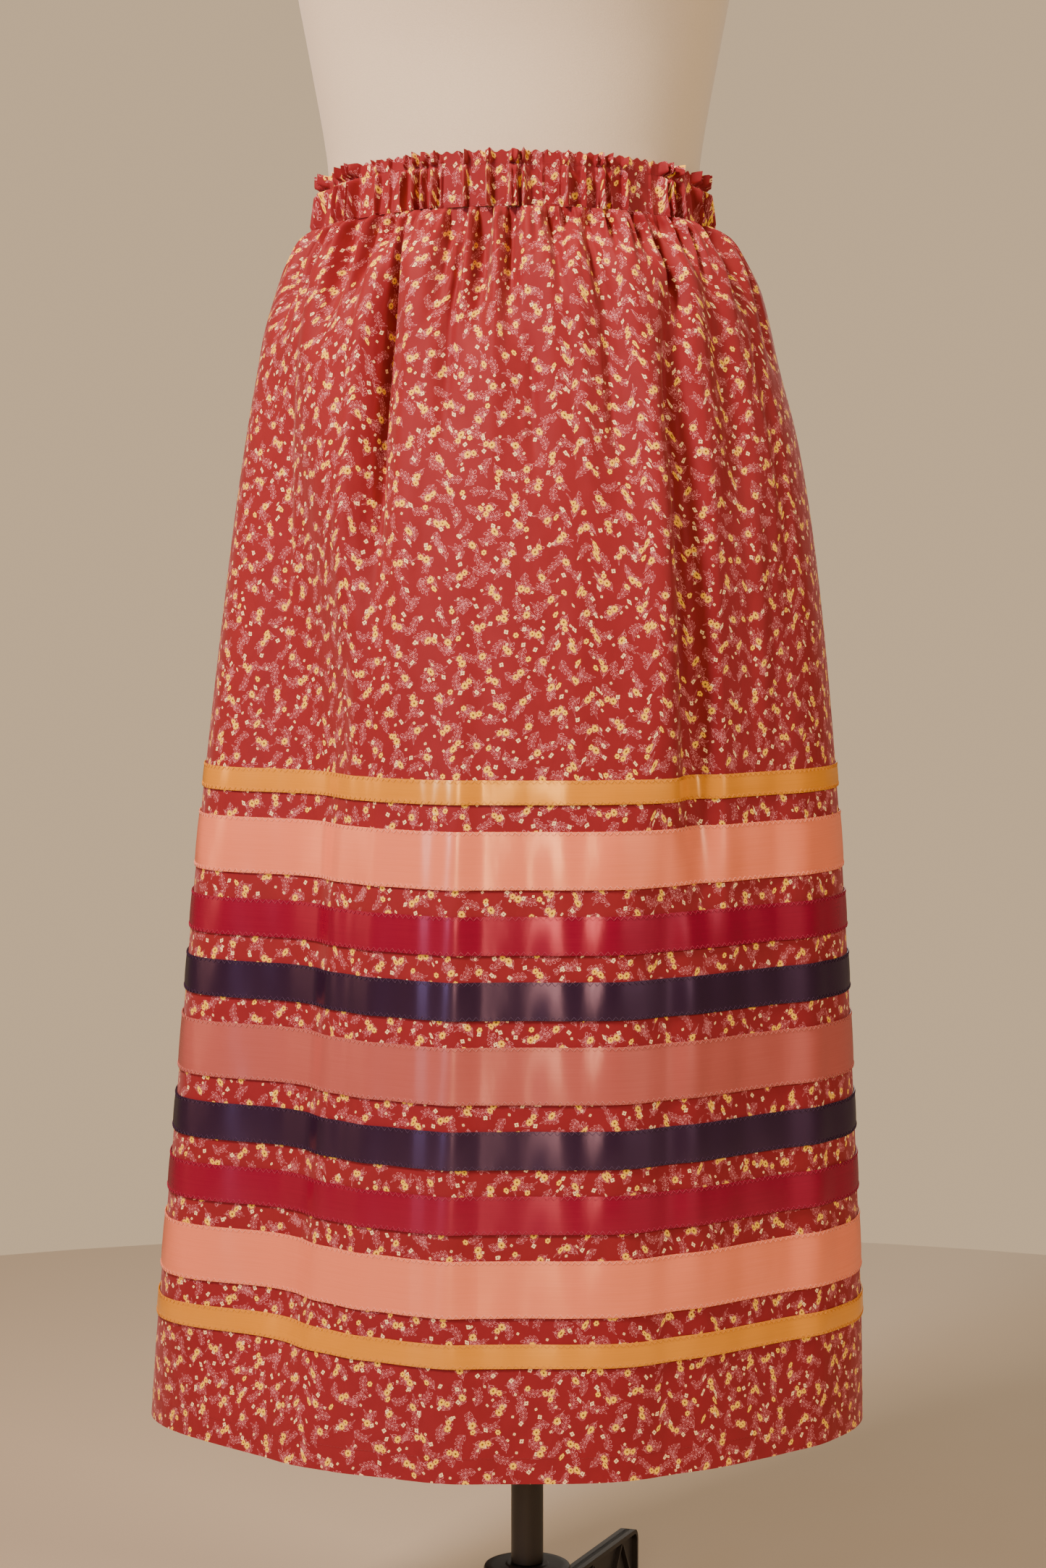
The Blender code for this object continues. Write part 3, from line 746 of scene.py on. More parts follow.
def make_group(
    name: str, inputs: Sequence[str], steps: Sequence[Step], outputs: dict[str, str]
) -> bpy.types.NodeTree:
    """A shader group whose sockets are numbers, apart from a vector called Place.

    Args:
        name: The group's name.
        inputs: Names of its inputs.
        steps: Its nodes.
        outputs: The steps that its outputs take, by the output's name.

    Returns:
        The group.
    """
    group = bpy.data.node_groups.new(name, "ShaderNodeTree")
    for way, words in (("INPUT", inputs), ("OUTPUT", outputs)):
        for word in words:
            kind = "NodeSocketVector" if word == "Place" else "NodeSocketFloat"
            group.interface.new_socket(word, in_out=way, socket_type=kind)
    entry = add_node(group, "NodeGroupInput")
    known = {socket.name: socket for socket in entry.outputs if socket.name}
    sockets = follow_steps(group, steps, known)
    add_node(group, "NodeGroupOutput", {}, {key: sockets[word] for key, word in outputs.items()})
    return group


def scatter_group() -> bpy.types.NodeTree:
    """One place in each cell of a grid, shifted and turned at random.

    Its inputs are a place in millimetres, the grid's pitch in millimetres, the share of the pitch
    that a motif may shift, the grid's lean in radians, and a seed. It gives the place from the
    motif's own centre and axes, and a random number for each motif.

    Returns:
        The group.
    """
    centre = (0.5, 0.5, 0.5)
    steps = (
        Step("inverse", "Math", "DIVIDE", (1.0, "Pitch")),
        Step("leant", "VectorRotate", "Z_AXIS", {0: "Place", "Angle": "Lean"}),
        Step("scaled", "VectorMath", "SCALE", {0: "leant", "Scale": "inverse"}),
        Step("shifted", "VectorMath", "ADD", ("scaled", "Seed")),
        Step("cell", "VectorMath", "FLOOR", ("shifted",)),
        Step("local", "VectorMath", "FRACTION", ("shifted",)),
        Step("draw", "TexWhiteNoise", "4D", {"Vector": "cell", "W": "Seed"}),
        Step("parts", "SeparateXYZ", None, ("draw.Color",)),
        Step("middle", "VectorMath", "SUBTRACT", ("draw.Color", centre)),
        Step("jitter", "VectorMath", "SCALE", {0: "middle", "Scale": "Shift"}),
        Step("centred", "VectorMath", "SUBTRACT", ("local", centre)),
        Step("moved", "VectorMath", "SUBTRACT", ("centred", "jitter")),
        Step("angle", "Math", "MULTIPLY", ("parts.Z", 2.0 * math.pi)),
        Step("sized", "VectorMath", "SCALE", {0: "moved", "Scale": "Pitch"}),
        Step("flat", "VectorMath", "MULTIPLY", ("sized", (1.0, 1.0, 0.0))),
        Step("turned", "VectorRotate", "Z_AXIS", {0: "flat", "Angle": "angle"}),
    )
    inputs = ("Place", "Pitch", "Shift", "Lean", "Seed")
    return make_group("scatter", inputs, steps, {"Place": "turned", "Chance": "draw"})


def blossom_group() -> bpy.types.NodeTree:
    """A small flower of round petals.

    Its inputs are a place in millimetres, the flower's radius, its count of petals and the depth of
    the notches between them. It gives the petals, and the eye in their middle.

    Returns:
        The group.
    """
    soft_edge, eye_share = 0.16, 0.34
    steps = (
        Step("flat", "VectorMath", "LENGTH", ("Place",)),
        Step("parts", "SeparateXYZ", None, ("Place",)),
        Step("angle", "Math", "ARCTAN2", ("parts.Y", "parts.X")),
        Step("around", "Math", "MULTIPLY", ("angle", "Petals")),
        Step("wave", "Math", "COSINE", ("around",)),
        Step("deep", "Math", "MULTIPLY", ("wave", "Notch")),
        Step("edge", "Math", "ADD", ("deep", 1.0)),
        Step("reach", "Math", "MULTIPLY", ("edge", "Radius")),
        Step("inside", "Math", "SUBTRACT", ("reach", "flat.Value")),
        Step("soft", "Math", "DIVIDE", ("inside", soft_edge)),
        Step("petal", "Clamp", None, ("soft",)),
        Step("small", "Math", "MULTIPLY", ("Radius", eye_share)),
        Step("heart", "Math", "SUBTRACT", ("small", "flat.Value")),
        Step("faint", "Math", "DIVIDE", ("heart", soft_edge)),
        Step("eye", "Clamp", None, ("faint",)),
    )
    inputs = ("Place", "Radius", "Petals", "Notch")
    return make_group("blossom", inputs, steps, {"Petal": "petal", "Eye": "eye"})


def sprig_group() -> bpy.types.NodeTree:
    """A bent stem with pairs of leaves, drawn in outline.

    Its inputs are a place in millimetres, half the sprig's length, the length of a leaf and the
    width of the line. It gives the drawn line.

    Returns:
        The group.
    """
    stem_bend, leaf_slant, ring_middle, ring_half = 0.055, 0.95, 0.74, 0.26
    leaf_spacing, leaf_middle, leaf_half_width = 0.90, 0.44, 0.31
    steps = (
        Step("parts", "SeparateXYZ", None, ("Place",)),
        Step("square", "Math", "MULTIPLY", ("parts.X", "parts.X")),
        Step("bend", "Math", "MULTIPLY", ("square", stem_bend)),
        Step("off", "Math", "SUBTRACT", ("parts.Y", "bend")),
        Step("side", "Math", "ABSOLUTE", ("off",)),
        Step("ends", "Math", "ABSOLUTE", ("parts.X",)),
        Step("within", "Math", "LESS_THAN", ("ends", "Half")),
        Step("thin", "Math", "MULTIPLY", ("Line", 0.5)),
        Step("near_stem", "Math", "LESS_THAN", ("side", "thin")),
        Step("stem", "Math", "MULTIPLY", ("near_stem", "within")),
        Step("step", "Math", "MULTIPLY", ("Leaf", leaf_spacing)),
        Step("lean", "Math", "MULTIPLY", ("side", leaf_slant)),
        Step("slid", "Math", "SUBTRACT", ("parts.X", "lean")),
        Step("share", "Math", "DIVIDE", ("slid", "step")),
        Step("fraction", "Math", "FRACT", ("share",)),
        Step("middle", "Math", "SUBTRACT", ("fraction", 0.5)),
        Step("across", "Math", "MULTIPLY", ("middle", "step")),
        Step("mid_leaf", "Math", "MULTIPLY", ("Leaf", leaf_middle)),
        Step("from_leaf", "Math", "SUBTRACT", ("side", "mid_leaf")),
        Step("long", "Math", "DIVIDE", ("from_leaf", "mid_leaf")),
        Step("half_wide", "Math", "MULTIPLY", ("Leaf", leaf_half_width)),
        Step("wide", "Math", "DIVIDE", ("across", "half_wide")),
        Step("long2", "Math", "MULTIPLY", ("long", "long")),
        Step("wide2", "Math", "MULTIPLY", ("wide", "wide")),
        Step("oval", "Math", "ADD", ("long2", "wide2")),
        Step("ring", "Math", "SUBTRACT", ("oval", ring_middle)),
        Step("far", "Math", "ABSOLUTE", ("ring",)),
        Step("drawn", "Math", "LESS_THAN", ("far", ring_half)),
        Step("slid_far", "Math", "ABSOLUTE", ("slid",)),
        Step("slid_in", "Math", "LESS_THAN", ("slid_far", "Half")),
        Step("leaves", "Math", "MULTIPLY", ("drawn", "slid_in")),
        Step("both", "Math", "MAXIMUM", ("stem", "leaves")),
    )
    return make_group("sprig", ("Place", "Half", "Leaf", "Line"), steps, {"Drawn": "both"})


class Motif(NamedTuple):
    """A layer of the print: its drawing, its grid, its share of cells filled and its colours.

    A sprig's sizes are its half-length, its leaf and its line; a blossom's are its radius, its
    petals and the depth of its notches. The pitch, the sizes and the place beside the cell's own
    centre are in millimetres.
    """

    drawing: str
    pitch: float
    shift: float
    lean: float
    seed: float
    filled: float
    sizes: tuple[float, float, float]
    beside: tuple[float, float, float]
    colour: str
    eye: str


MIDDLE = (0.0, 0.0, 0.0)
MOTIFS = (
    Motif("sprig", 15.6, 0.20, 0.42, 8.7, 0.95, (5.2, 3.2, 0.30), MIDDLE, "c27279", "c27279"),
    Motif("sprig", 18.0, 0.26, -0.30, 3.3, 1.00, (6.2, 3.3, 0.30), MIDDLE, "c9797f", "c9797f"),
    Motif("blossom", 8.8, 0.66, 0.75, 5.1, 0.36, (1.0, 4.0, 0.10), MIDDLE, "ffd49a", "8c3a34"),
    Motif("blossom", 11.4, 0.62, 0.15, 1.9, 0.48, (1.5, 4.0, 0.16), MIDDLE, "ffdaa4", "6b2028"),
    Motif("blossom", 18.0, 0.26, -0.30, 3.3, 0.50, (1.9, 7.0, 0.10), (4.0, 1.3, 0), "ffc233", "7a5510"),
    Motif("blossom", 18.0, 0.26, -0.30, 3.3, 0.95, (2.3, 7.0, 0.10), MIDDLE, "ffc636", "7a5510"),
    Motif("blossom", 15.0, 0.60, 0.60, 7.7, 0.27, (1.8, 6.0, 0.10), MIDDLE, "ffc63c", "7a5510"),
)


def empty_material(name: str) -> bpy.types.Material:
    """A new material with an empty tree.

    Args:
        name: The material's name.

    Returns:
        The material.
    """
    material = bpy.data.materials.new(name)
    material.use_nodes = True
    material.node_tree.nodes.clear()
    return material


def cloth_steps() -> tuple[Step, ...]:
    """Steps that give the place on the cloth's map in millimetres."""
    return (
        Step("spots", "UVMap", CLOTH_MAP),
        Step("place", "VectorMath", "SCALE", {0: "spots", "Scale": 1.0 / MM}),
    )


@dataclass(frozen=True)
class PrintedCalico:
    """Plain-weave cotton calico, roller printed with a ditsy of flowers on a red ground.

    Printed calico has a matte face with a slight glaze, so it takes a soft pale sheen on the sides
    of its folds. Its threads are 0.35 mm apart, drawn here at 0.7 mm so that they show.
    """

    ground: str = "8b1520"
    ground_deep: str = "7b0f18"
    thread: float = 0.7
    roughness: float = 0.68
    glaze: float = 0.3
    sheen: float = 0.17
    sheen_roughness: float = 0.45
    sheen_tint: str = "ffd9dc"

    def material(self) -> bpy.types.Material:
        """Makes the cloth's material on its cloth map.

        Returns:
            The material.
        """
        material = empty_material("printed_calico_cotton")
        tree = material.node_tree
        ground = colour_mix("mottle", linear_rgba(self.ground), linear_rgba(self.ground_deep))
        dyed = (
            Step("mottle", "TexNoise", None, {"Vector": "place", "Scale": 0.05, "Detail": 3.0}),
            Step("dyed", "Mix", "RGBA", ground),
        )
        sockets = follow_steps(tree, cloth_steps() + dyed, {})
        sockets["printed"] = self.print_motifs(tree, sockets["place"], sockets["dyed.2"])
        shader = {
            "Base Color": "printed",
            "Roughness": self.roughness,
            "Specular IOR Level": self.glaze,
            "Sheen Weight": self.sheen,
            "Sheen Roughness": self.sheen_roughness,
            "Sheen Tint": linear_rgba(self.sheen_tint),
            "Normal": "weave",
        }
        finish = (
            *self.weave(),
            Step("shader", "BsdfPrincipled", None, shader),
            Step("out", "OutputMaterial", None, ("shader",)),
        )
        follow_steps(tree, finish, sockets)
        return material

    def print_motifs(
        self, tree: bpy.types.NodeTree, place: bpy.types.NodeSocket, colour: bpy.types.NodeSocket
    ) -> bpy.types.NodeSocket:
        """Prints each layer of motifs over a colour.

        Args:
            tree: The material's tree.
            place: Places on the cloth, in millimetres.
            colour: The colour below.

        Returns:
            The printed colour.
        """
        scatter = scatter_group()
        drawings = {"blossom": blossom_group(), "sprig": sprig_group()}
        for motif in MOTIFS:
            grid = {
                0: "place",
                "Pitch": motif.pitch,
                "Shift": motif.shift,
                "Lean": motif.lean,
                "Seed": motif.seed,
            }
            eye = "drawn.Eye" if motif.drawing == "blossom" else 0.0
            ink = colour_mix(eye, linear_rgba(motif.colour), linear_rgba(motif.eye))
            steps = (
                Step("spread", "Group", scatter, grid),
                Step("moved", "VectorMath", "SUBTRACT", ("spread", motif.beside)),
                Step("drawn", "Group", drawings[motif.drawing], ("moved", *motif.sizes)),
                Step("chosen", "Math", "LESS_THAN", ("spread.Chance", motif.filled)),
                Step("mask", "Math", "MULTIPLY", ("drawn", "chosen")),
                Step("ink", "Mix", "RGBA", ink),
                Step("printed", "Mix", "RGBA", colour_mix("mask", "below", "ink.2")),
            )
            colour = follow_steps(tree, steps, {"place": place, "below": colour})["printed.2"]
        return colour

    def weave(self) -> tuple[Step, ...]:
        """Steps for soft rumples, with the weave's threads over them.

        Returns:
            The steps.
        """
        rate = 2.0 * math.pi / self.thread
        rumples = {"Vector": "drawn_out", "Scale": 0.055, "Detail": 3.0}
        soft = {"Strength": 0.25, "Distance": 0.004, "Height": "rumples"}
        weave = {"Strength": 0.10, "Distance": 0.0003, "Height": "woven", "Normal": "soft"}
        return (
            Step("scaled", "VectorMath", "SCALE", {0: "place", "Scale": rate}),
            Step("parts", "SeparateXYZ", None, ("scaled",)),
            Step("warp", "Math", "SINE", ("parts.X",)),
            Step("weft", "Math", "SINE", ("parts.Y",)),
            Step("woven", "Math", "MULTIPLY", ("warp", "weft")),
            Step("drawn_out", "VectorMath", "MULTIPLY", ("place", (1, 0.3, 1))),
            Step("rumples", "TexNoise", None, rumples),
            Step("soft", "Bump", None, soft),
            Step("weave", "Bump", None, weave),
        )


@dataclass(frozen=True)
class SatinRibbon:
    """Woven-edge polyester satin ribbon: long floats give it a bright, smooth face."""

    name: str
    colour: str
    shade: str
    shine: str
    roughness: float = 0.27
    stretch: float = 0.70
    stretch_turn: float = 0.25
    ior: float = 1.8

    def material(self) -> bpy.types.Material:
        """Makes the ribbon's material on its cloth map.

        Returns:
            The material.
        """
        material = empty_material(f"satin_ribbon_{self.name}")
        tree = material.node_tree
        along = add_node(tree, "Tangent", {"direction_type": "UV_MAP", "uv_map": CLOTH_MAP})
        soft = {"Strength": 0.7, "Distance": 0.010, "Height": "ripples"}
        puckers = {"Strength": 0.12, "Distance": 0.0006, "Height": "fine", "Normal": "soft"}
        colour = colour_mix("floats", linear_rgba(self.colour), linear_rgba(self.shade))
        shader = {
            "Base Color": "dyed.2",
            "Roughness": self.roughness,
            "Anisotropic": self.stretch,
            "Anisotropic Rotation": self.stretch_turn,
            "Tangent": "along",
            "IOR": self.ior,
            "Specular IOR Level": 1.0,
            "Specular Tint": linear_rgba(self.shine),
            "Normal": "puckers",
        }
        steps = (
            *cloth_steps(),
            Step("long", "VectorMath", "MULTIPLY", ("place", (0.02, 1.2, 1))),
            Step("floats", "TexNoise", None, {"Vector": "long", "Scale": 1.0, "Detail": 2.0}),
            Step("wide", "VectorMath", "MULTIPLY", ("place", (1, 0.45, 1))),
            Step("ripples", "TexNoise", None, {"Vector": "wide", "Scale": 0.020, "Detail": 1.0}),
            Step("soft", "Bump", None, soft),
            Step("fine", "TexNoise", None, {"Vector": "wide", "Scale": 0.16, "Detail": 1.0}),
            Step("puckers", "Bump", None, puckers),
            Step("dyed", "Mix", "RGBA", colour),
            Step("shader", "BsdfPrincipled", None, shader),
            Step("out", "OutputMaterial", None, ("shader",)),
        )
        follow_steps(tree, steps, {"along": along.outputs[0]})
        return material


@dataclass(frozen=True)
class PlainFinish:
    """A finish of one colour, with a fine grain in its colour, its roughness and its surface.

    The grain is in millimetres.
    """

    name: str
    colour: str
    shade: str
    roughness: float
    metallic: float = 0.0
    grain: float = 1.0
    relief: float = 0.1
    sheen: float = 0.0
    wear: float = 0.06

    def material(self) -> bpy.types.Material:
        """Makes the finish on Object coordinates.

        Returns:
            The material.
        """
        material = empty_material(self.name)
        spots = add_node(material.node_tree, "TexCoord")
        rough = {0: "broad", 3: self.roughness - self.wear, 4: self.roughness + self.wear}
        raised = {"Strength": self.relief, "Distance": 0.0004, "Height": "grain"}
        colour = colour_mix("grain", linear_rgba(self.colour), linear_rgba(self.shade))
        shader = {
            "Base Color": "dyed.2",
            "Roughness": "rough",
            "Metallic": self.metallic,
            "Sheen Weight": self.sheen,
            "Normal": "raised",
        }
        steps = (
            Step("grain", "TexNoise", None, {"Vector": "place", "Scale": 1.0 / (self.grain * MM)}),
            Step("broad", "TexNoise", None, {"Vector": "place", "Scale": 14.0, "Detail": 4.0}),
            Step("rough", "MapRange", None, rough),
            Step("raised", "Bump", None, raised),
            Step("dyed", "Mix", "RGBA", colour),
            Step("shader", "BsdfPrincipled", None, shader),
            Step("out", "OutputMaterial", None, ("shader",)),
        )
        follow_steps(material.node_tree, steps, {"place": spots.outputs["Object"]})
        return material


class Finish(Enum):
    """The finishes that the pieces choose from."""

    CALICO = PrintedCalico()
    GOLD = SatinRibbon("gold", "ec9a22", "da8a18", "ffd890")
    PEACH = SatinRibbon("peach", "ff8c68", "f27e5a", "ffd4b4")
    RASPBERRY = SatinRibbon("raspberry", "8e0a30", "7c0628", "ff88a8")
    PLUM = SatinRibbon("plum", "26102a", "1e0c22", "c8a8dc")
    ROSE = SatinRibbon("rose", "bc5e58", "ae524c", "ffccc8")
    GOLD_THREAD = PlainFinish("gold_polyester_thread", "dc9c3c", "cf8c2c", 0.5, 0.0, 0.3, 0.2)
    PEACH_THREAD = PlainFinish("peach_polyester_thread", "f4ab94", "e89c84", 0.5, 0.0, 0.3, 0.2)
    BERRY_THREAD = PlainFinish("berry_polyester_thread", "a8284c", "961e40", 0.5, 0.0, 0.3, 0.2)
    PLUM_THREAD = PlainFinish("plum_polyester_thread", "44264a", "381e3e", 0.5, 0.0, 0.3, 0.2)
    ROSE_THREAD = PlainFinish("rose_polyester_thread", "cc7e76", "be706a", 0.5, 0.0, 0.3, 0.2)
    RED_THREAD = PlainFinish("spun_polyester_thread", "8f2026", "7a181f", 0.6, 0.0, 0.3, 0.2)
    LINEN = PlainFinish("linen_jersey", "d9ccb4", "cbbda3", 0.85, 0.0, 0.9, 0.3, 0.2)
    STEEL = PlainFinish("powder_coated_steel", "2b2422", "231d1b", 0.42, 0.0, 1.2, 0.15)
    NYLON = PlainFinish("moulded_black_nylon", "241f1e", "1c1817", 0.55, 0.0, 0.8, 0.2)


class Ribbon(NamedTuple):
    """A ribbon: its name in the frame, its finish, its thread and its material slot."""

    name: str
    finish: Finish
    thread: Finish
    slot: str


RIBBONS = (
    Ribbon("gold_1", Finish.GOLD, Finish.GOLD_THREAD, "gold_satin"),
    Ribbon("peach_2", Finish.PEACH, Finish.PEACH_THREAD, "peach_satin"),
    Ribbon("raspberry_3", Finish.RASPBERRY, Finish.BERRY_THREAD, "raspberry_satin"),
    Ribbon("plum_4", Finish.PLUM, Finish.PLUM_THREAD, "plum_satin"),
    Ribbon("rose_5", Finish.ROSE, Finish.ROSE_THREAD, "rose_satin"),
    Ribbon("plum_6", Finish.PLUM, Finish.PLUM_THREAD, "plum_satin"),
    Ribbon("raspberry_7", Finish.RASPBERRY, Finish.BERRY_THREAD, "raspberry_satin"),
    Ribbon("peach_8", Finish.PEACH, Finish.PEACH_THREAD, "peach_satin"),
    Ribbon("gold_9", Finish.GOLD, Finish.GOLD_THREAD, "gold_satin"),
)


class Seam(NamedTuple):
    """The line that a row of stitches follows, and the cloth's outward normals along it."""

    line: np.ndarray
    normals: np.ndarray


class Stitch(NamedTuple):
    """A row of stitches: their length, their width, how far they rise, and the thread's radius."""

    length: float
    width: float
    base: float
    rise: float
    thread: float


ZIGZAG = Stitch(0.0023, 0.0026, 0.00005, 0.00030, 0.00022)
RUNNING = Stitch(0.0026, 0.0, -0.00022, 0.00040, 0.00018)


@dataclass
class StitchMaker:
    """Sews rows of thread with one Geometry Nodes tree."""

    sides: int = 3
    tree: bpy.types.NodeTree | None = None

    def grow_tree(self) -> bpy.types.NodeTree:
        """Makes the tree that turns a line with its normals into a row of stitches.

        Returns:
            The tree, with the stitch's sizes as its inputs.
        """
        tree = bpy.data.node_groups.new("stitches", "GeometryNodeTree")
        # A modifier hands its geometry to the first input
        kinds = {"line": "NodeSocketGeometry", "thread_finish": "NodeSocketMaterial"}
        kinds |= {name: "NodeSocketFloat" for name in Stitch._fields}
        for name, kind in kinds.items():
            tree.interface.new_socket(name, in_out="INPUT", socket_type=kind)
        tree.interface.new_socket("Stitches", in_out="OUTPUT", socket_type="NodeSocketGeometry")
        entry = add_node(tree, "NodeGroupInput").outputs
        known = {name: entry[name] for name in kinds}
        for name in ("across", "outward"):
            known[name] = add_node(
                tree,
                "GeometryNodeInputNamedAttribute",
                {"data_type": "FLOAT_VECTOR"},
                {"Name": name},
            ).outputs[0]
        spaced = {"Curve": "path", "Length": "spacing"}
        laid = {"Geometry": "spaced", "Offset": "moved"}
        ring = {"Resolution": self.sides, "Radius": "thread"}
        tube = {"Curve": "laid", "Profile Curve": "ring", "Fill Caps": True}
        dressed = {"Geometry": "real", "Material": "thread_finish"}
        steps = (
            Step("spacing", "Math", "MULTIPLY", ("length", 0.5)),
            Step("path", "GeometryNodeMeshToCurve", None, ("line",)),
            Step("spaced", "GeometryNodeResampleCurve", "LENGTH", spaced),
            Step("index", "GeometryNodeInputIndex"),
            Step("angle", "Math", "MULTIPLY", ("index", math.pi / 2.0)),
            Step("sway", "Math", "COSINE", ("angle",)),
            Step("half", "Math", "MULTIPLY", ("width", 0.5)),
            Step("aside", "Math", "MULTIPLY", ("sway", "half")),
            Step("arch", "Math", "SINE", ("angle",)),
            Step("arched", "Math", "ABSOLUTE", ("arch",)),
            Step("swell", "Math", "MULTIPLY", ("arched", "rise")),
            Step("up", "Math", "ADD", ("swell", "base")),
            Step("swung", "VectorMath", "SCALE", {0: "across", "Scale": "aside"}),
            Step("raised", "VectorMath", "SCALE", {0: "outward", "Scale": "up"}),
            Step("moved", "VectorMath", "ADD", ("swung", "raised")),
            Step("laid", "GeometryNodeSetPosition", None, laid),
            Step("ring", "GeometryNodeCurvePrimitiveCircle", None, ring),
            Step("tube", "GeometryNodeCurveToMesh", None, tube),
            Step("real", "GeometryNodeRealizeInstances", None, ("tube",)),
            Step("dressed", "GeometryNodeSetMaterial", None, dressed),
            Step("out", "NodeGroupOutput", None, ("dressed",)),
        )
        follow_steps(tree, steps, known)
        return tree

    def sew(
        self,
        name: str,
        seams: Sequence[Seam],
        stitch: Stitch,
        material: bpy.types.Material,
        slot: str,
    ) -> bpy.types.Object:
        """Sews rows of stitches as one piece.

        Args:
            name: The piece's name.
            seams: The lines to follow.
            stitch: The kind of stitch.
            material: The thread's finish.
            slot: Not used.

        Returns:
            The piece.
        """
        self.tree = self.tree or self.grow_tree()
        lines = np.concatenate([seam.line for seam in seams])
        outward = np.concatenate([seam.normals for seam in seams])
        along = np.concatenate([np.gradient(seam.line, axis=0) for seam in seams])
        across = np.cross(outward, along)
        across /= np.linalg.norm(across, axis=1, keepdims=True)
        edges = []
        first = 0
        for seam in seams:
            count = len(seam.line)
            edges += [(first + i, first + i + 1) for i in range(count - 1)]
            first += count
        mesh = bpy.data.meshes.new(f"{name}_line")
        mesh.from_pydata(lines.tolist(), edges, [])
        for word, values in (("outward", outward), ("across", across)):
            layer = mesh.attributes.new(word, "FLOAT_VECTOR", "POINT")
            layer.data.foreach_set("vector", values.astype(np.float32).ravel())
        guide = bpy.data.objects.new(f"{name}_line", mesh)
        bpy.context.scene.collection.objects.link(guide)
        modifier = guide.modifiers.new("stitches", "NODES")
        modifier.node_group = self.tree
        sockets = {item.name: item.identifier for item in self.tree.interface.items_tree}
        for word, value in zip(Stitch._fields, stitch):
            modifier[sockets[word]] = value
        modifier[sockets["thread_finish"]] = material
        shown = guide.evaluated_get(bpy.context.evaluated_depsgraph_get())
        sewn = bpy.data.meshes.new_from_object(shown)
        sewn.name = name
        guide.modifiers.remove(modifier)
        bpy.data.objects.remove(guide)
        sewn.shade_smooth()
        return place_piece(sewn, None, material)


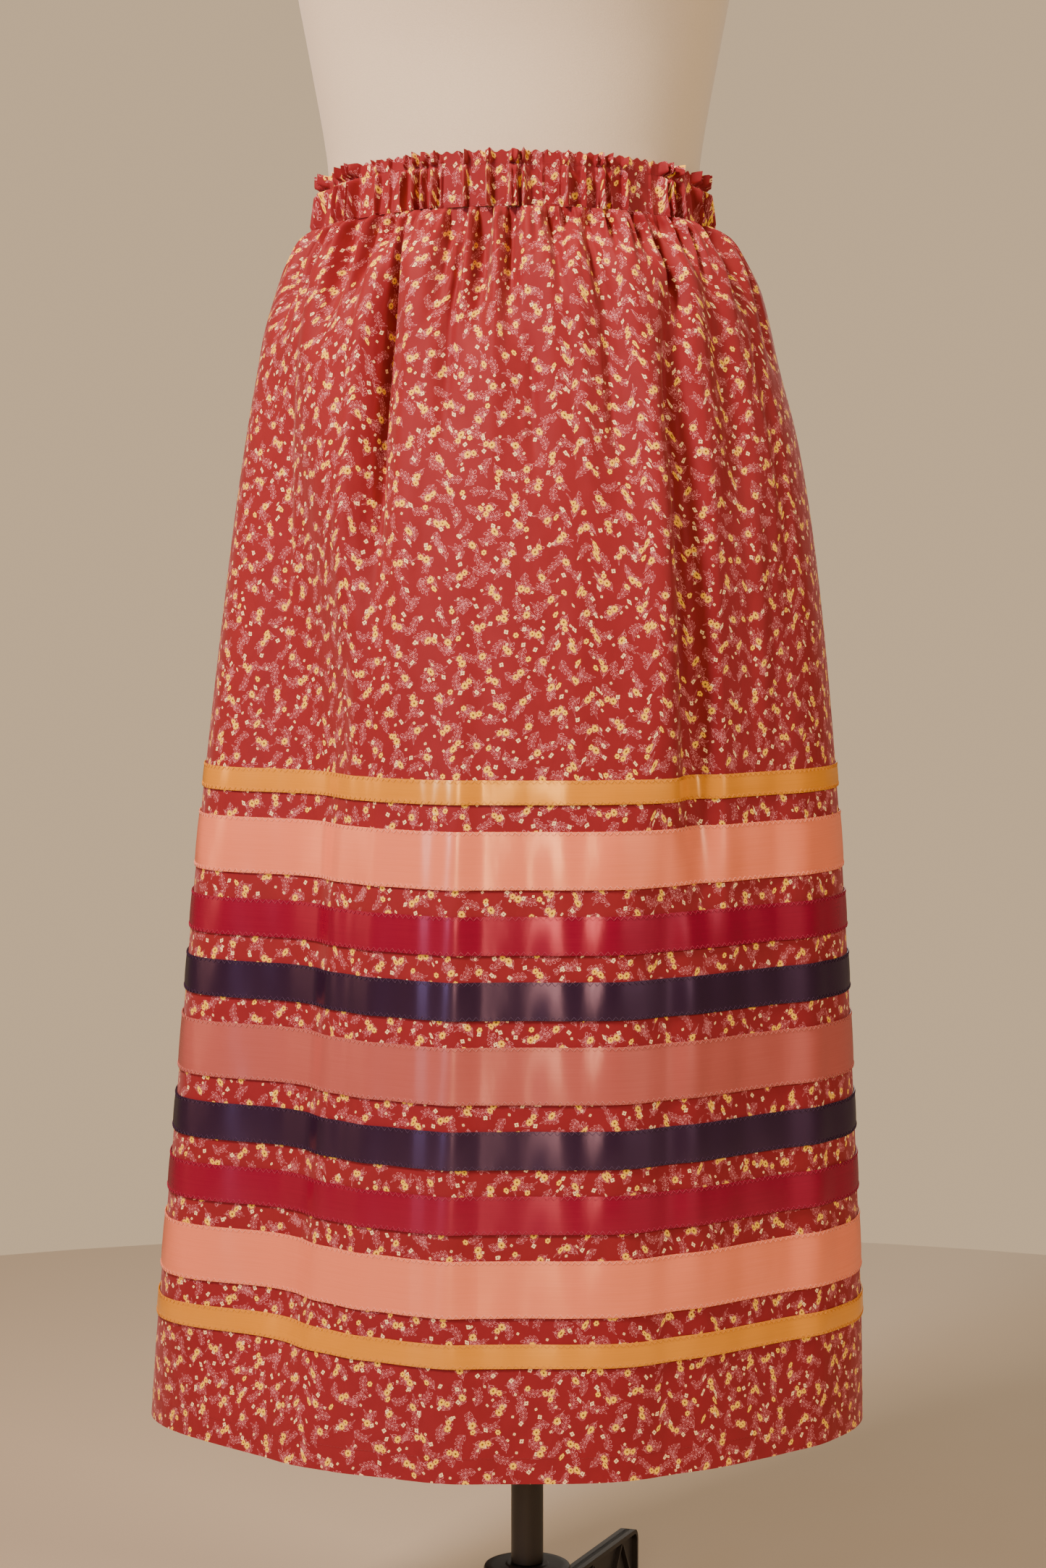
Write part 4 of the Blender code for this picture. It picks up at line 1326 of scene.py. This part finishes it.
@dataclass
class SkirtMaker:
    """Sews the skirt: its panels, its casing and its ribbons."""

    cloth: SkirtCloth = field(default_factory=SkirtCloth)
    materials: dict[Finish, bpy.types.Material] = field(default_factory=dict)
    stitches: StitchMaker = field(default_factory=StitchMaker)
    columns: int = 480
    rows: int = 92
    top_gap: float = 0.0003
    top_spacing: float = 0.12
    panel_length: float = 0.860
    hem_turn: float = 0.020
    cloth_thickness: float = 0.0006
    ribbon_columns: int = 320
    ribbon_rows: tuple[float, ...] = (0.33, 0.67)
    ribbon_lift: float = 0.0006
    ribbon_thickness: float = 0.0005
    ribbon_crown: float = 0.0003
    seam_inset: float = 0.0013
    casing_columns: int = 820
    casing_rows: int = 28
    casing_length: float = 0.0364
    casing_thickness: float = 0.0016
    casing_lift: float = 0.0018
    pleat_depth: float = 0.0092
    pleat_strength: float = 1.2
    pleat_round: float = 1.8
    pleat_swell: float = 0.0012
    crinkle_depth: float = 0.38
    crinkles: float = 163.0
    crinkle_drift: float = 17.0
    lower_row: float = 0.0013
    lower_pull: float = 0.2
    upper_row: float = 0.0271
    row_spread: float = 0.0016

    def build(self) -> None:
        """Makes every piece of both halves."""
        for half in Half:
            panel = self.panel(half)
            casing = self.casing(half)
            ribbons = [self.ribbon(ribbon, half) for ribbon in RIBBONS]

    def run_stitches(self, name: str, line: np.ndarray, normals: np.ndarray) -> None:
        """Sews one row of running stitches in the cotton's thread.

        Args:
            name: The piece's name.
            line: The line to follow.
            normals: The cloth's normals.
        """
        thread = self.materials[Finish.RED_THREAD]
        self.stitches.sew(name, [Seam(line, normals)], RUNNING, thread, "printed_cotton")

    def panel(self, half: Half) -> bpy.types.Object:
        """The front or back panel, from the casing's lower stitching to the hem.

        Args:
            half: The half of the skirt.

        Returns:
            The panel, whose hem stitches are a piece of their own.
        """
        node = f"skirt_{half.word}"
        cloth = self.cloth
        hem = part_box(node)[0][2]
        top = cloth.casing_foot - self.top_gap
        share = np.linspace(0.0, 1.0, self.rows + 1)
        share = self.top_spacing * share + (1.0 - self.top_spacing) * share**2
        heights = top - (top - hem) * share
        points = cloth.surface(half.turns(self.columns), heights)
        normals = grid_normals(points)
        outer = cloth.lift_off(points, 0.0, half)
        turned = heights[:, None, None] < hem + self.hem_turn
        inner = cloth.lift_off(points, -self.cloth_thickness, half)
        inner = inner - normals * self.cloth_thickness * turned
        maps = cloth.cloth_map(points, cloth.casing_height)
        mesh = wall_mesh(f"{node}_cloth", outer, inner, maps)
        piece = place_piece(mesh, node, self.materials[Finish.CALICO])
        near = int(np.argmin(np.abs(heights - hem - self.hem_turn)))
        self.run_stitches(f"{node}_hem_stitches", outer[near], normals[near])
        return piece

    def casing_out(self, sweep: np.ndarray, above: np.ndarray) -> tuple[np.ndarray, np.ndarray]:
        """The casing's gathers, drawn in along both rows of stitching.

        Args:
            sweep: Turns across the casing.
            above: Heights above its foot.

        Returns:
            How far it stands off the form, and how far the header's edge rises and falls.
        """
        cloth = self.cloth
        header = np.clip((above - cloth.casing_height) / cloth.header_height, 0.0, 1.0)
        band = np.sin(np.clip(above / cloth.casing_height, 0.0, 1.0) * math.pi)
        rows = ((self.lower_row, self.lower_pull), (self.upper_row, 1.0))
        stitched = sum(pull * np.exp(-(((above - row) / self.row_spread) ** 2)) for row, pull in rows)
        lean = sweep + 0.5 * band * np.sin(sweep * 0.9) + 0.7 * header * np.sin(sweep * 2.3)
        wave = 1.0 - self.pleat_strength * (1.0 - cloth.pleat_wave(lean, np.zeros_like(above)))
        angle = np.radians(sweep)
        crinkle = 0.5 + 0.5 * np.sin(angle * self.crinkles + 3.0 * np.sin(angle * self.crinkle_drift))
        wave = wave - self.crinkle_depth * crinkle * (0.7 + 0.5 * header)
        wave = np.clip(wave, 0.0, 1.0) ** self.pleat_round
        out = self.casing_lift + self.pleat_depth * wave * (1.0 - 0.8 * stitched)
        out = out + (self.pleat_swell * (band - stitched) + 0.0010 * header) * wave
        ragged = 0.0016 * header * (wave - 0.7) + 0.0009 * header * np.sin(sweep * 1.9)
        return out, ragged

    def casing(self, half: Half) -> bpy.types.Object:
        """The gathered casing with its header, drawn in by two rows of stitching.

        Args:
            half: The half of the skirt.

        Returns:
            The casing, whose stitches are pieces of their own.
        """
        node = f"casing_{half.word}"
        cloth = self.cloth
        tall = cloth.casing_height + cloth.header_height
        share = np.linspace(1.0, 0.0, self.casing_rows + 1)[:, None]
        above = share * tall
        rise = cloth.rise_foot + (cloth.rise_top - cloth.rise_foot) * share
        sweep = half.turns(self.casing_columns)[None, :]
        heights = cloth.casing_foot + above + cloth.rise(sweep, 1.0) * rise
        width, front, back = (
            read_table(FORM_SECTIONS, column, heights) for column in ("half", "front", "back")
        )
        x, y, normal_x, normal_y = plan(sweep, width, width, front, back)
        x, y = x + FORM_OFFSET, y + half.side * cloth.side_gap
        out, ragged = self.casing_out(sweep, above)
        under = np.clip(out - self.casing_thickness, 0.0009, None)
        outer, inner = (
            np.stack([x + off * normal_x, y + off * normal_y, heights + ragged - drop], 2)
            for off, drop in ((out, 0.0), (under, 0.0003))
        )
        maps = cloth.cloth_map(outer, -cloth.header_height)
        mesh = wall_mesh(f"{node}_cloth", outer, inner, maps)
        piece = place_piece(mesh, node, self.materials[Finish.CALICO])
        normals = grid_normals(outer)
        for row, name in ((self.lower_row, "lower"), (self.upper_row, "upper")):
            index = int(round((1.0 - row / tall) * self.casing_rows))
            self.run_stitches(f"{node}_{name}_stitches", outer[index], normals[index])
        return piece

    def ribbon(self, ribbon: Ribbon, half: Half) -> bpy.types.Object:
        """One length of ribbon across a panel, a little crowned between its stitched edges.

        Args:
            ribbon: The ribbon.
            half: The half of the skirt.

        Returns:
            The ribbon's satin, whose stitches are a piece of their own.
        """
        node = f"ribbon_{ribbon.name}_{half.word}"
        low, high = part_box(node)
        inset = self.seam_inset / (high[2] - low[2])
        share = np.array([0.0, inset, *self.ribbon_rows, 1.0 - inset, 1.0])
        heights = high[2] + (low[2] - high[2]) * share
        points = self.cloth.surface(half.turns(self.ribbon_columns), heights)
        normals = grid_normals(points)
        crown = self.ribbon_crown * np.sin(share * math.pi)[:, None, None]
        outer = self.cloth.lift_off(points, self.ribbon_lift + self.ribbon_thickness, half)
        inner = self.cloth.lift_off(points, self.ribbon_lift, half)
        maps = self.cloth.cloth_map(points, 0.0)
        mesh = wall_mesh(f"{node}_satin", outer + normals * crown, inner, maps)
        piece = place_piece(mesh, node, self.materials[ribbon.finish])
        edges = [Seam(outer[1], normals[1]), Seam(outer[-2], normals[-2])]
        thread = self.materials[ribbon.thread]
        self.stitches.sew(f"{node}_zigzag", edges, ZIGZAG, thread, ribbon.slot)
        return piece


@dataclass
class FormMaker:
    """The limbless dress form."""

    columns: int = 128
    rows: int = 120
    sharp_angle: float = 50.0

    def torso(self, material: bpy.types.Material) -> bpy.types.Object:
        """The padded torso, smooth between the solids' sections.

        Args:
            material: Its finish.

        Returns:
            The torso.
        """
        heights = np.linspace(FORM_SECTIONS[-1].height, FORM_SECTIONS[0].height, self.rows + 1)
        angle = np.linspace(0.0, 2.0 * math.pi, self.columns, endpoint=False)[None, :]
        half, front, back, square = (
            read_table(FORM_SECTIONS, column, heights)[:, None]
            for column in FormSection._fields[1:]
        )
        cos, sin = np.cos(angle), np.sin(angle)
        x = np.sign(cos) * np.abs(cos) ** (2.0 / square) * half + FORM_OFFSET
        y = np.sign(sin) * np.abs(sin) ** (2.0 / square) * np.where(sin > 0.0, back, front)
        z = np.broadcast_to(heights[:, None], x.shape)
        points = np.stack([x, y, z], axis=2).reshape(-1, 3)
        count = self.columns
        faces = []
        for top in range(0, self.rows * count, count):
            low = top + count
            for column in range(count):
                after = (column + 1) % count
                faces.append((top + column, low + column, low + after, top + after))
        faces.append(tuple(range(count)))
        faces.append(tuple(reversed(range(self.rows * count, (self.rows + 1) * count))))
        mesh = bpy.data.meshes.new("form_torso_jersey")
        mesh.from_pydata(points.tolist(), [], faces)
        mesh.shade_smooth()
        mesh.set_sharp_from_angle(angle=math.radians(self.sharp_angle))
        return place_piece(mesh, "form_torso", material)


@dataclass
class StandMaker:
    """The stand's pole, its hub and its three ribbed blade legs."""

    segments: int = 96
    round_steps: int = 6
    chamfer: float = 0.0006
    pole_radius: float = 0.0115
    collar: float = 0.0030
    collar_edge: float = 0.0012
    collar_drop: float = 0.0010
    flange_radius: float = 0.0313
    flange_height: float = 0.0100
    flange_drop: float = 0.0014
    body_radius: float = 0.0250
    edge: float = 0.0020
    leg_turns: tuple[float, ...] = (72.0, 192.0, 312.0)
    leg_gap: float = 0.0003
    leg_reach: float = 0.2660
    leg_width: float = 0.0120
    root_height: float = 0.0765
    end_height: float = 0.0580
    foot_length: float = 0.0450
    arch_height: float = 0.0140
    end_round: float = 0.0100
    rim: float = 0.0035
    web: float = 0.0040
    ribs: int = 6
    rib_margin: float = 0.0040
    rib_width: float = 0.0030
    rib_inset: float = 0.0005

    def turned(self, name: str, profile: Sequence[tuple[float, float]]) -> bpy.types.Mesh:
        """Turns a profile round the pole's axis.

        Args:
            name: The mesh's name.
            profile: Radii and heights from the top of the axis, down the outside, to its foot.

        Returns:
            The closed mesh.
        """
        mesh = bmesh.new()
        points = [mesh.verts.new((radius, 0.0, height)) for radius, height in profile]
        edges = [mesh.edges.new(pair) for pair in zip(points, points[1:])]
        bmesh.ops.spin(
            mesh,
            geom=points + edges,
            cent=(0.0, 0.0, 0.0),
            axis=(0.0, 0.0, 1.0),
            angle=2.0 * math.pi,
            steps=self.segments,
        )
        bmesh.ops.remove_doubles(mesh, verts=mesh.verts, dist=0.00002)
        return close_mesh(name, mesh)

    def pole(self, material: bpy.types.Material) -> bpy.types.Object:
        """The steel tube between the hub and the form.

        Args:
            material: Its finish.

        Returns:
            The pole.
        """
        low, high = (corner[2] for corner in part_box("stand_pole"))
        radius, chamfer = self.pole_radius, self.chamfer
        profile = (
            (0.0, high),
            (radius - chamfer, high),
            (radius, high - chamfer),
            (radius, low + chamfer),
            (radius - chamfer, low),
            (0.0, low),
        )
        mesh = self.turned("stand_pole_tube", profile)
        return place_piece(mesh, "stand_pole", material)

    def hub(self, material: bpy.types.Material) -> bpy.types.Object:
        """The moulded hub, with a rounded flange and a raised collar where the pole goes in.

        Args:
            material: Its finish.

        Returns:
            The hub.
        """
        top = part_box("stand_hub")[1][2]
        foot = top - self.flange_height
        collar, body = self.pole_radius + self.collar, self.body_radius
        profile = [(0.0, top), (collar, top), (collar + self.collar_edge, top - self.collar_drop)]
        profile += [(body, top - self.flange_drop)]
        middle = (top + foot - self.flange_drop) / 2.0
        half = (self.flange_height - self.flange_drop) / 2.0
        for step in range(self.round_steps + 1):
            angle = math.pi * step / self.round_steps
            reach = self.flange_radius - self.edge * (1.0 - math.sin(angle))
            profile.append((reach, middle + half * math.cos(angle)))
        profile += [(body, foot - self.edge), (body, self.chamfer)]
        profile += [(body - self.chamfer, 0.0), (0.0, 0.0)]
        mesh = self.turned("stand_hub_moulding", profile)
        return place_piece(mesh, "stand_hub", material)

    def outline(self) -> list[Vector]:
        """The leg's side view: reaches from the pole's axis and heights, with a rounded end.

        Returns:
            The corners, from the root along the foot.
        """
        root = self.body_radius + self.leg_gap
        arch_start = root + self.foot_length
        arch_end = self.leg_reach - self.foot_length
        points = [
            (root, 0.0),
            (arch_start, 0.0),
            (arch_start + self.arch_height, self.arch_height),
            (arch_end - self.arch_height, self.arch_height),
            (arch_end, 0.0),
            (self.leg_reach, 0.0),
        ]
        for step in range(self.round_steps + 1):
            angle = 0.5 * math.pi * step / self.round_steps
            reach = self.leg_reach - self.end_round * (1.0 - math.cos(angle))
            points.append((reach, self.end_height - self.end_round * (1.0 - math.sin(angle))))
        return [Vector(point) for point in (*points, (root, self.root_height))]

    def inset(self, outline: Sequence[Vector]) -> list[Vector]:
        """The inner edge of the leg's rim, point by point.

        Args:
            outline: The leg's side view.

        Returns:
            A corner for each corner of the outline.
        """
        inner = []
        for index, here in enumerate(outline):
            before = (here - outline[index - 1]).normalized()
            after = (outline[(index + 1) % len(outline)] - here).normalized()
            normal = Vector((-before.y - after.y, before.x + after.x)).normalized()
            inner.append(here + normal * self.rim / max(0.5, normal.dot(Vector((-after.y, after.x)))))
        return inner

    def rib_bars(self, root: float) -> list[list[Vector]]:
        """The slanting ribs in side view, which lean to and fro from the leg's root to its end.

        Args:
            root: The reach where the leg starts.

        Returns:
            The four corners of each rib.
        """
        left, right = root + self.rib_margin, self.leg_reach - self.rib_margin
        span = (right - left) / self.ribs
        bars = []
        for rib in range(self.ribs):
            low, high = left + rib * span, left + (rib + 1) * span
            if rib % 2:
                low, high = high, low
            foot = self.arch_height + self.rim if 0 < rib < self.ribs - 1 else self.rim
            share = (high - root) / (self.leg_reach - root)
            top = self.root_height + (self.end_height - self.root_height) * share - self.rim
            wide = self.rib_width
            bar = [(low, foot), (low + wide, foot), (high + wide, top), (high, top)]
            bars.append([Vector(point) for point in bar])
        return bars

    def leg(self, number: int, material: bpy.types.Material) -> bpy.types.Object:
        """One leg: a thin web inside a wide rim, stiffened by slanting ribs.

        Args:
            number: The leg's number, from 1.
            material: Its finish.

        Returns:
            The leg.
        """
        outline = self.outline()
        inner = self.inset(outline)
        mesh = bmesh.new()
        half = self.leg_width / 2.0
        slab(mesh, [outline], self.web / 2.0)
        for index in range(len(outline)):
            after = (index + 1) % len(outline)
            slab(mesh, [[outline[index], outline[after], inner[after], inner[index]]], half)
        slab(mesh, self.rib_bars(outline[0].x), half - self.rib_inset)
        turn = math.radians(self.leg_turns[number - 1])
        matrix = Matrix.Rotation(turn, 4, "Z") @ Matrix.Rotation(math.radians(90.0), 4, "X")
        bmesh.ops.transform(mesh, matrix=matrix, verts=mesh.verts)
        mesh = close_mesh(f"stand_leg_{number}_moulding", mesh)
        return place_piece(mesh, f"stand_leg_{number}", material)

    def build(self, steel: bpy.types.Material, nylon: bpy.types.Material) -> None:
        """Makes the whole stand.

        Args:
            steel: The pole's finish.
            nylon: The hub's and legs' finish.
        """
        self.pole(steel)
        self.hub(nylon)
        for number in range(1, len(self.leg_turns) + 1):
            self.leg(number, nylon)


class Light(NamedTuple):
    """A soft rectangular light: its place, its size, its power in watts and its colour."""

    name: str
    place: tuple[float, float, float]
    size: tuple[float, float]
    power: float
    colour: str


LIGHTS = (
    Light("window", (-1.55, -2.2, 1.65), (0.26, 1.3), 31.0, "d4deff"),
    Light("lamp", (-0.35, -3.4, 1.15), (0.45, 0.9), 25.0, "ffd6a2"),
    Light("room", (2.2, -1.3, 2.05), (0.8, 0.8), 50.0, "ffe2c8"),
    Light("ceiling", (-0.80, -1.05, 2.25), (0.32, 0.32), 64.0, "ffe0c8"),
    Light("hall", (-2.1, -0.1, 1.35), (0.6, 1.0), 11.0, "ffc896"),
    Light("back", (1.0, 2.6, 1.9), (2.0, 2.0), 30.0, "fff4e6"),
)


FLOOR_FINISH = PlainFinish("pale_floor", "c2b59f", "bcaf99", 0.8, 0.0, 2.0, 0.02)


@dataclass
class Studio:
    """The camera at the photograph's place, with soft light and a pale floor."""

    camera_place: tuple[float, float, float] = (-0.003, -2.47, 0.8819)
    pitch_down: float = 4.964
    lens: float = 81.0
    sensor: float = 36.0
    aim: tuple[float, float, float] = (0.0, 0.0, 0.75)
    floor_radius: float = 1.6
    floor_corners: int = 96
    sky_colour: str = "e2c49e"
    sky_light: float = 0.20
    sky_shown: float = 0.90

    def camera(self) -> None:
        """Stands the camera in front of the skirt."""
        data = bpy.data.cameras.new("camera")
        data.lens = self.lens
        data.sensor_width = self.sensor
        data.clip_start = 0.05
        camera = bpy.data.objects.new("camera", data)
        bpy.context.scene.collection.objects.link(camera)
        camera.location = self.camera_place
        camera.rotation_euler = (math.radians(90.0 - self.pitch_down), 0.0, 0.0)
        bpy.context.scene.camera = camera

    def light(self, light: Light) -> None:
        """Adds a light that faces the middle of the skirt.

        Args:
            light: The light.
        """
        data = bpy.data.lights.new(light.name, "AREA")
        data.shape = "RECTANGLE"
        data.size, data.size_y = light.size
        data.energy = light.power
        data.color = linear_rgba(light.colour)[:3]
        lamp = bpy.data.objects.new(light.name, data)
        bpy.context.scene.collection.objects.link(lamp)
        lamp.location = light.place
        aim = Vector(self.aim) - Vector(light.place)
        lamp.rotation_euler = aim.to_track_quat("-Z", "Y").to_euler()

    def floor(self) -> None:
        """A round pale floor."""
        mesh = bpy.data.meshes.new("floor")
        angles = np.linspace(0.0, 2.0 * math.pi, self.floor_corners, endpoint=False)
        radius = self.floor_radius
        rim = [(radius * math.cos(angle), radius * math.sin(angle), 0.0) for angle in angles]
        mesh.from_pydata(rim, [], [tuple(range(len(rim)))])
        mesh.materials.append(FLOOR_FINISH.material())
        floor = bpy.data.objects.new("floor", mesh)
        bpy.context.scene.collection.objects.link(floor)

    def sky(self) -> None:
        """A plain warm backdrop colour, with a weaker light of the same colour."""
        world = bpy.data.worlds.new("soft_sky")
        world.use_nodes = True
        world.node_tree.nodes.clear()
        strength = {0: "path.Is Camera Ray", 3: self.sky_light, 4: self.sky_shown}
        shown = {"Color": linear_rgba(self.sky_colour), "Strength": "strength"}
        steps = (
            Step("path", "LightPath"),
            Step("strength", "MapRange", None, strength),
            Step("shown", "Background", None, shown),
            Step("out", "OutputWorld", None, ("shown",)),
        )
        follow_steps(world.node_tree, steps, {})
        bpy.context.scene.world = world

    def build(self) -> None:
        """Sets up the camera, the lights, the sky and the floor."""
        self.camera()
        for light in LIGHTS:
            self.light(light)
        self.sky()
        self.floor()


def main() -> None:
    """Builds the studio, the skirt, the form and its stand, and logs each piece's count of faces."""
    logging.basicConfig(level=logging.INFO, format="%(name)s %(message)s")
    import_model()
    Studio().build()
    materials = {finish: finish.value.material() for finish in Finish}
    SkirtMaker(materials=materials).build()
    FormMaker().torso(materials[Finish.LINEN])
    StandMaker().build(materials[Finish.STEEL], materials[Finish.NYLON])


if __name__ == "__main__":
    main()
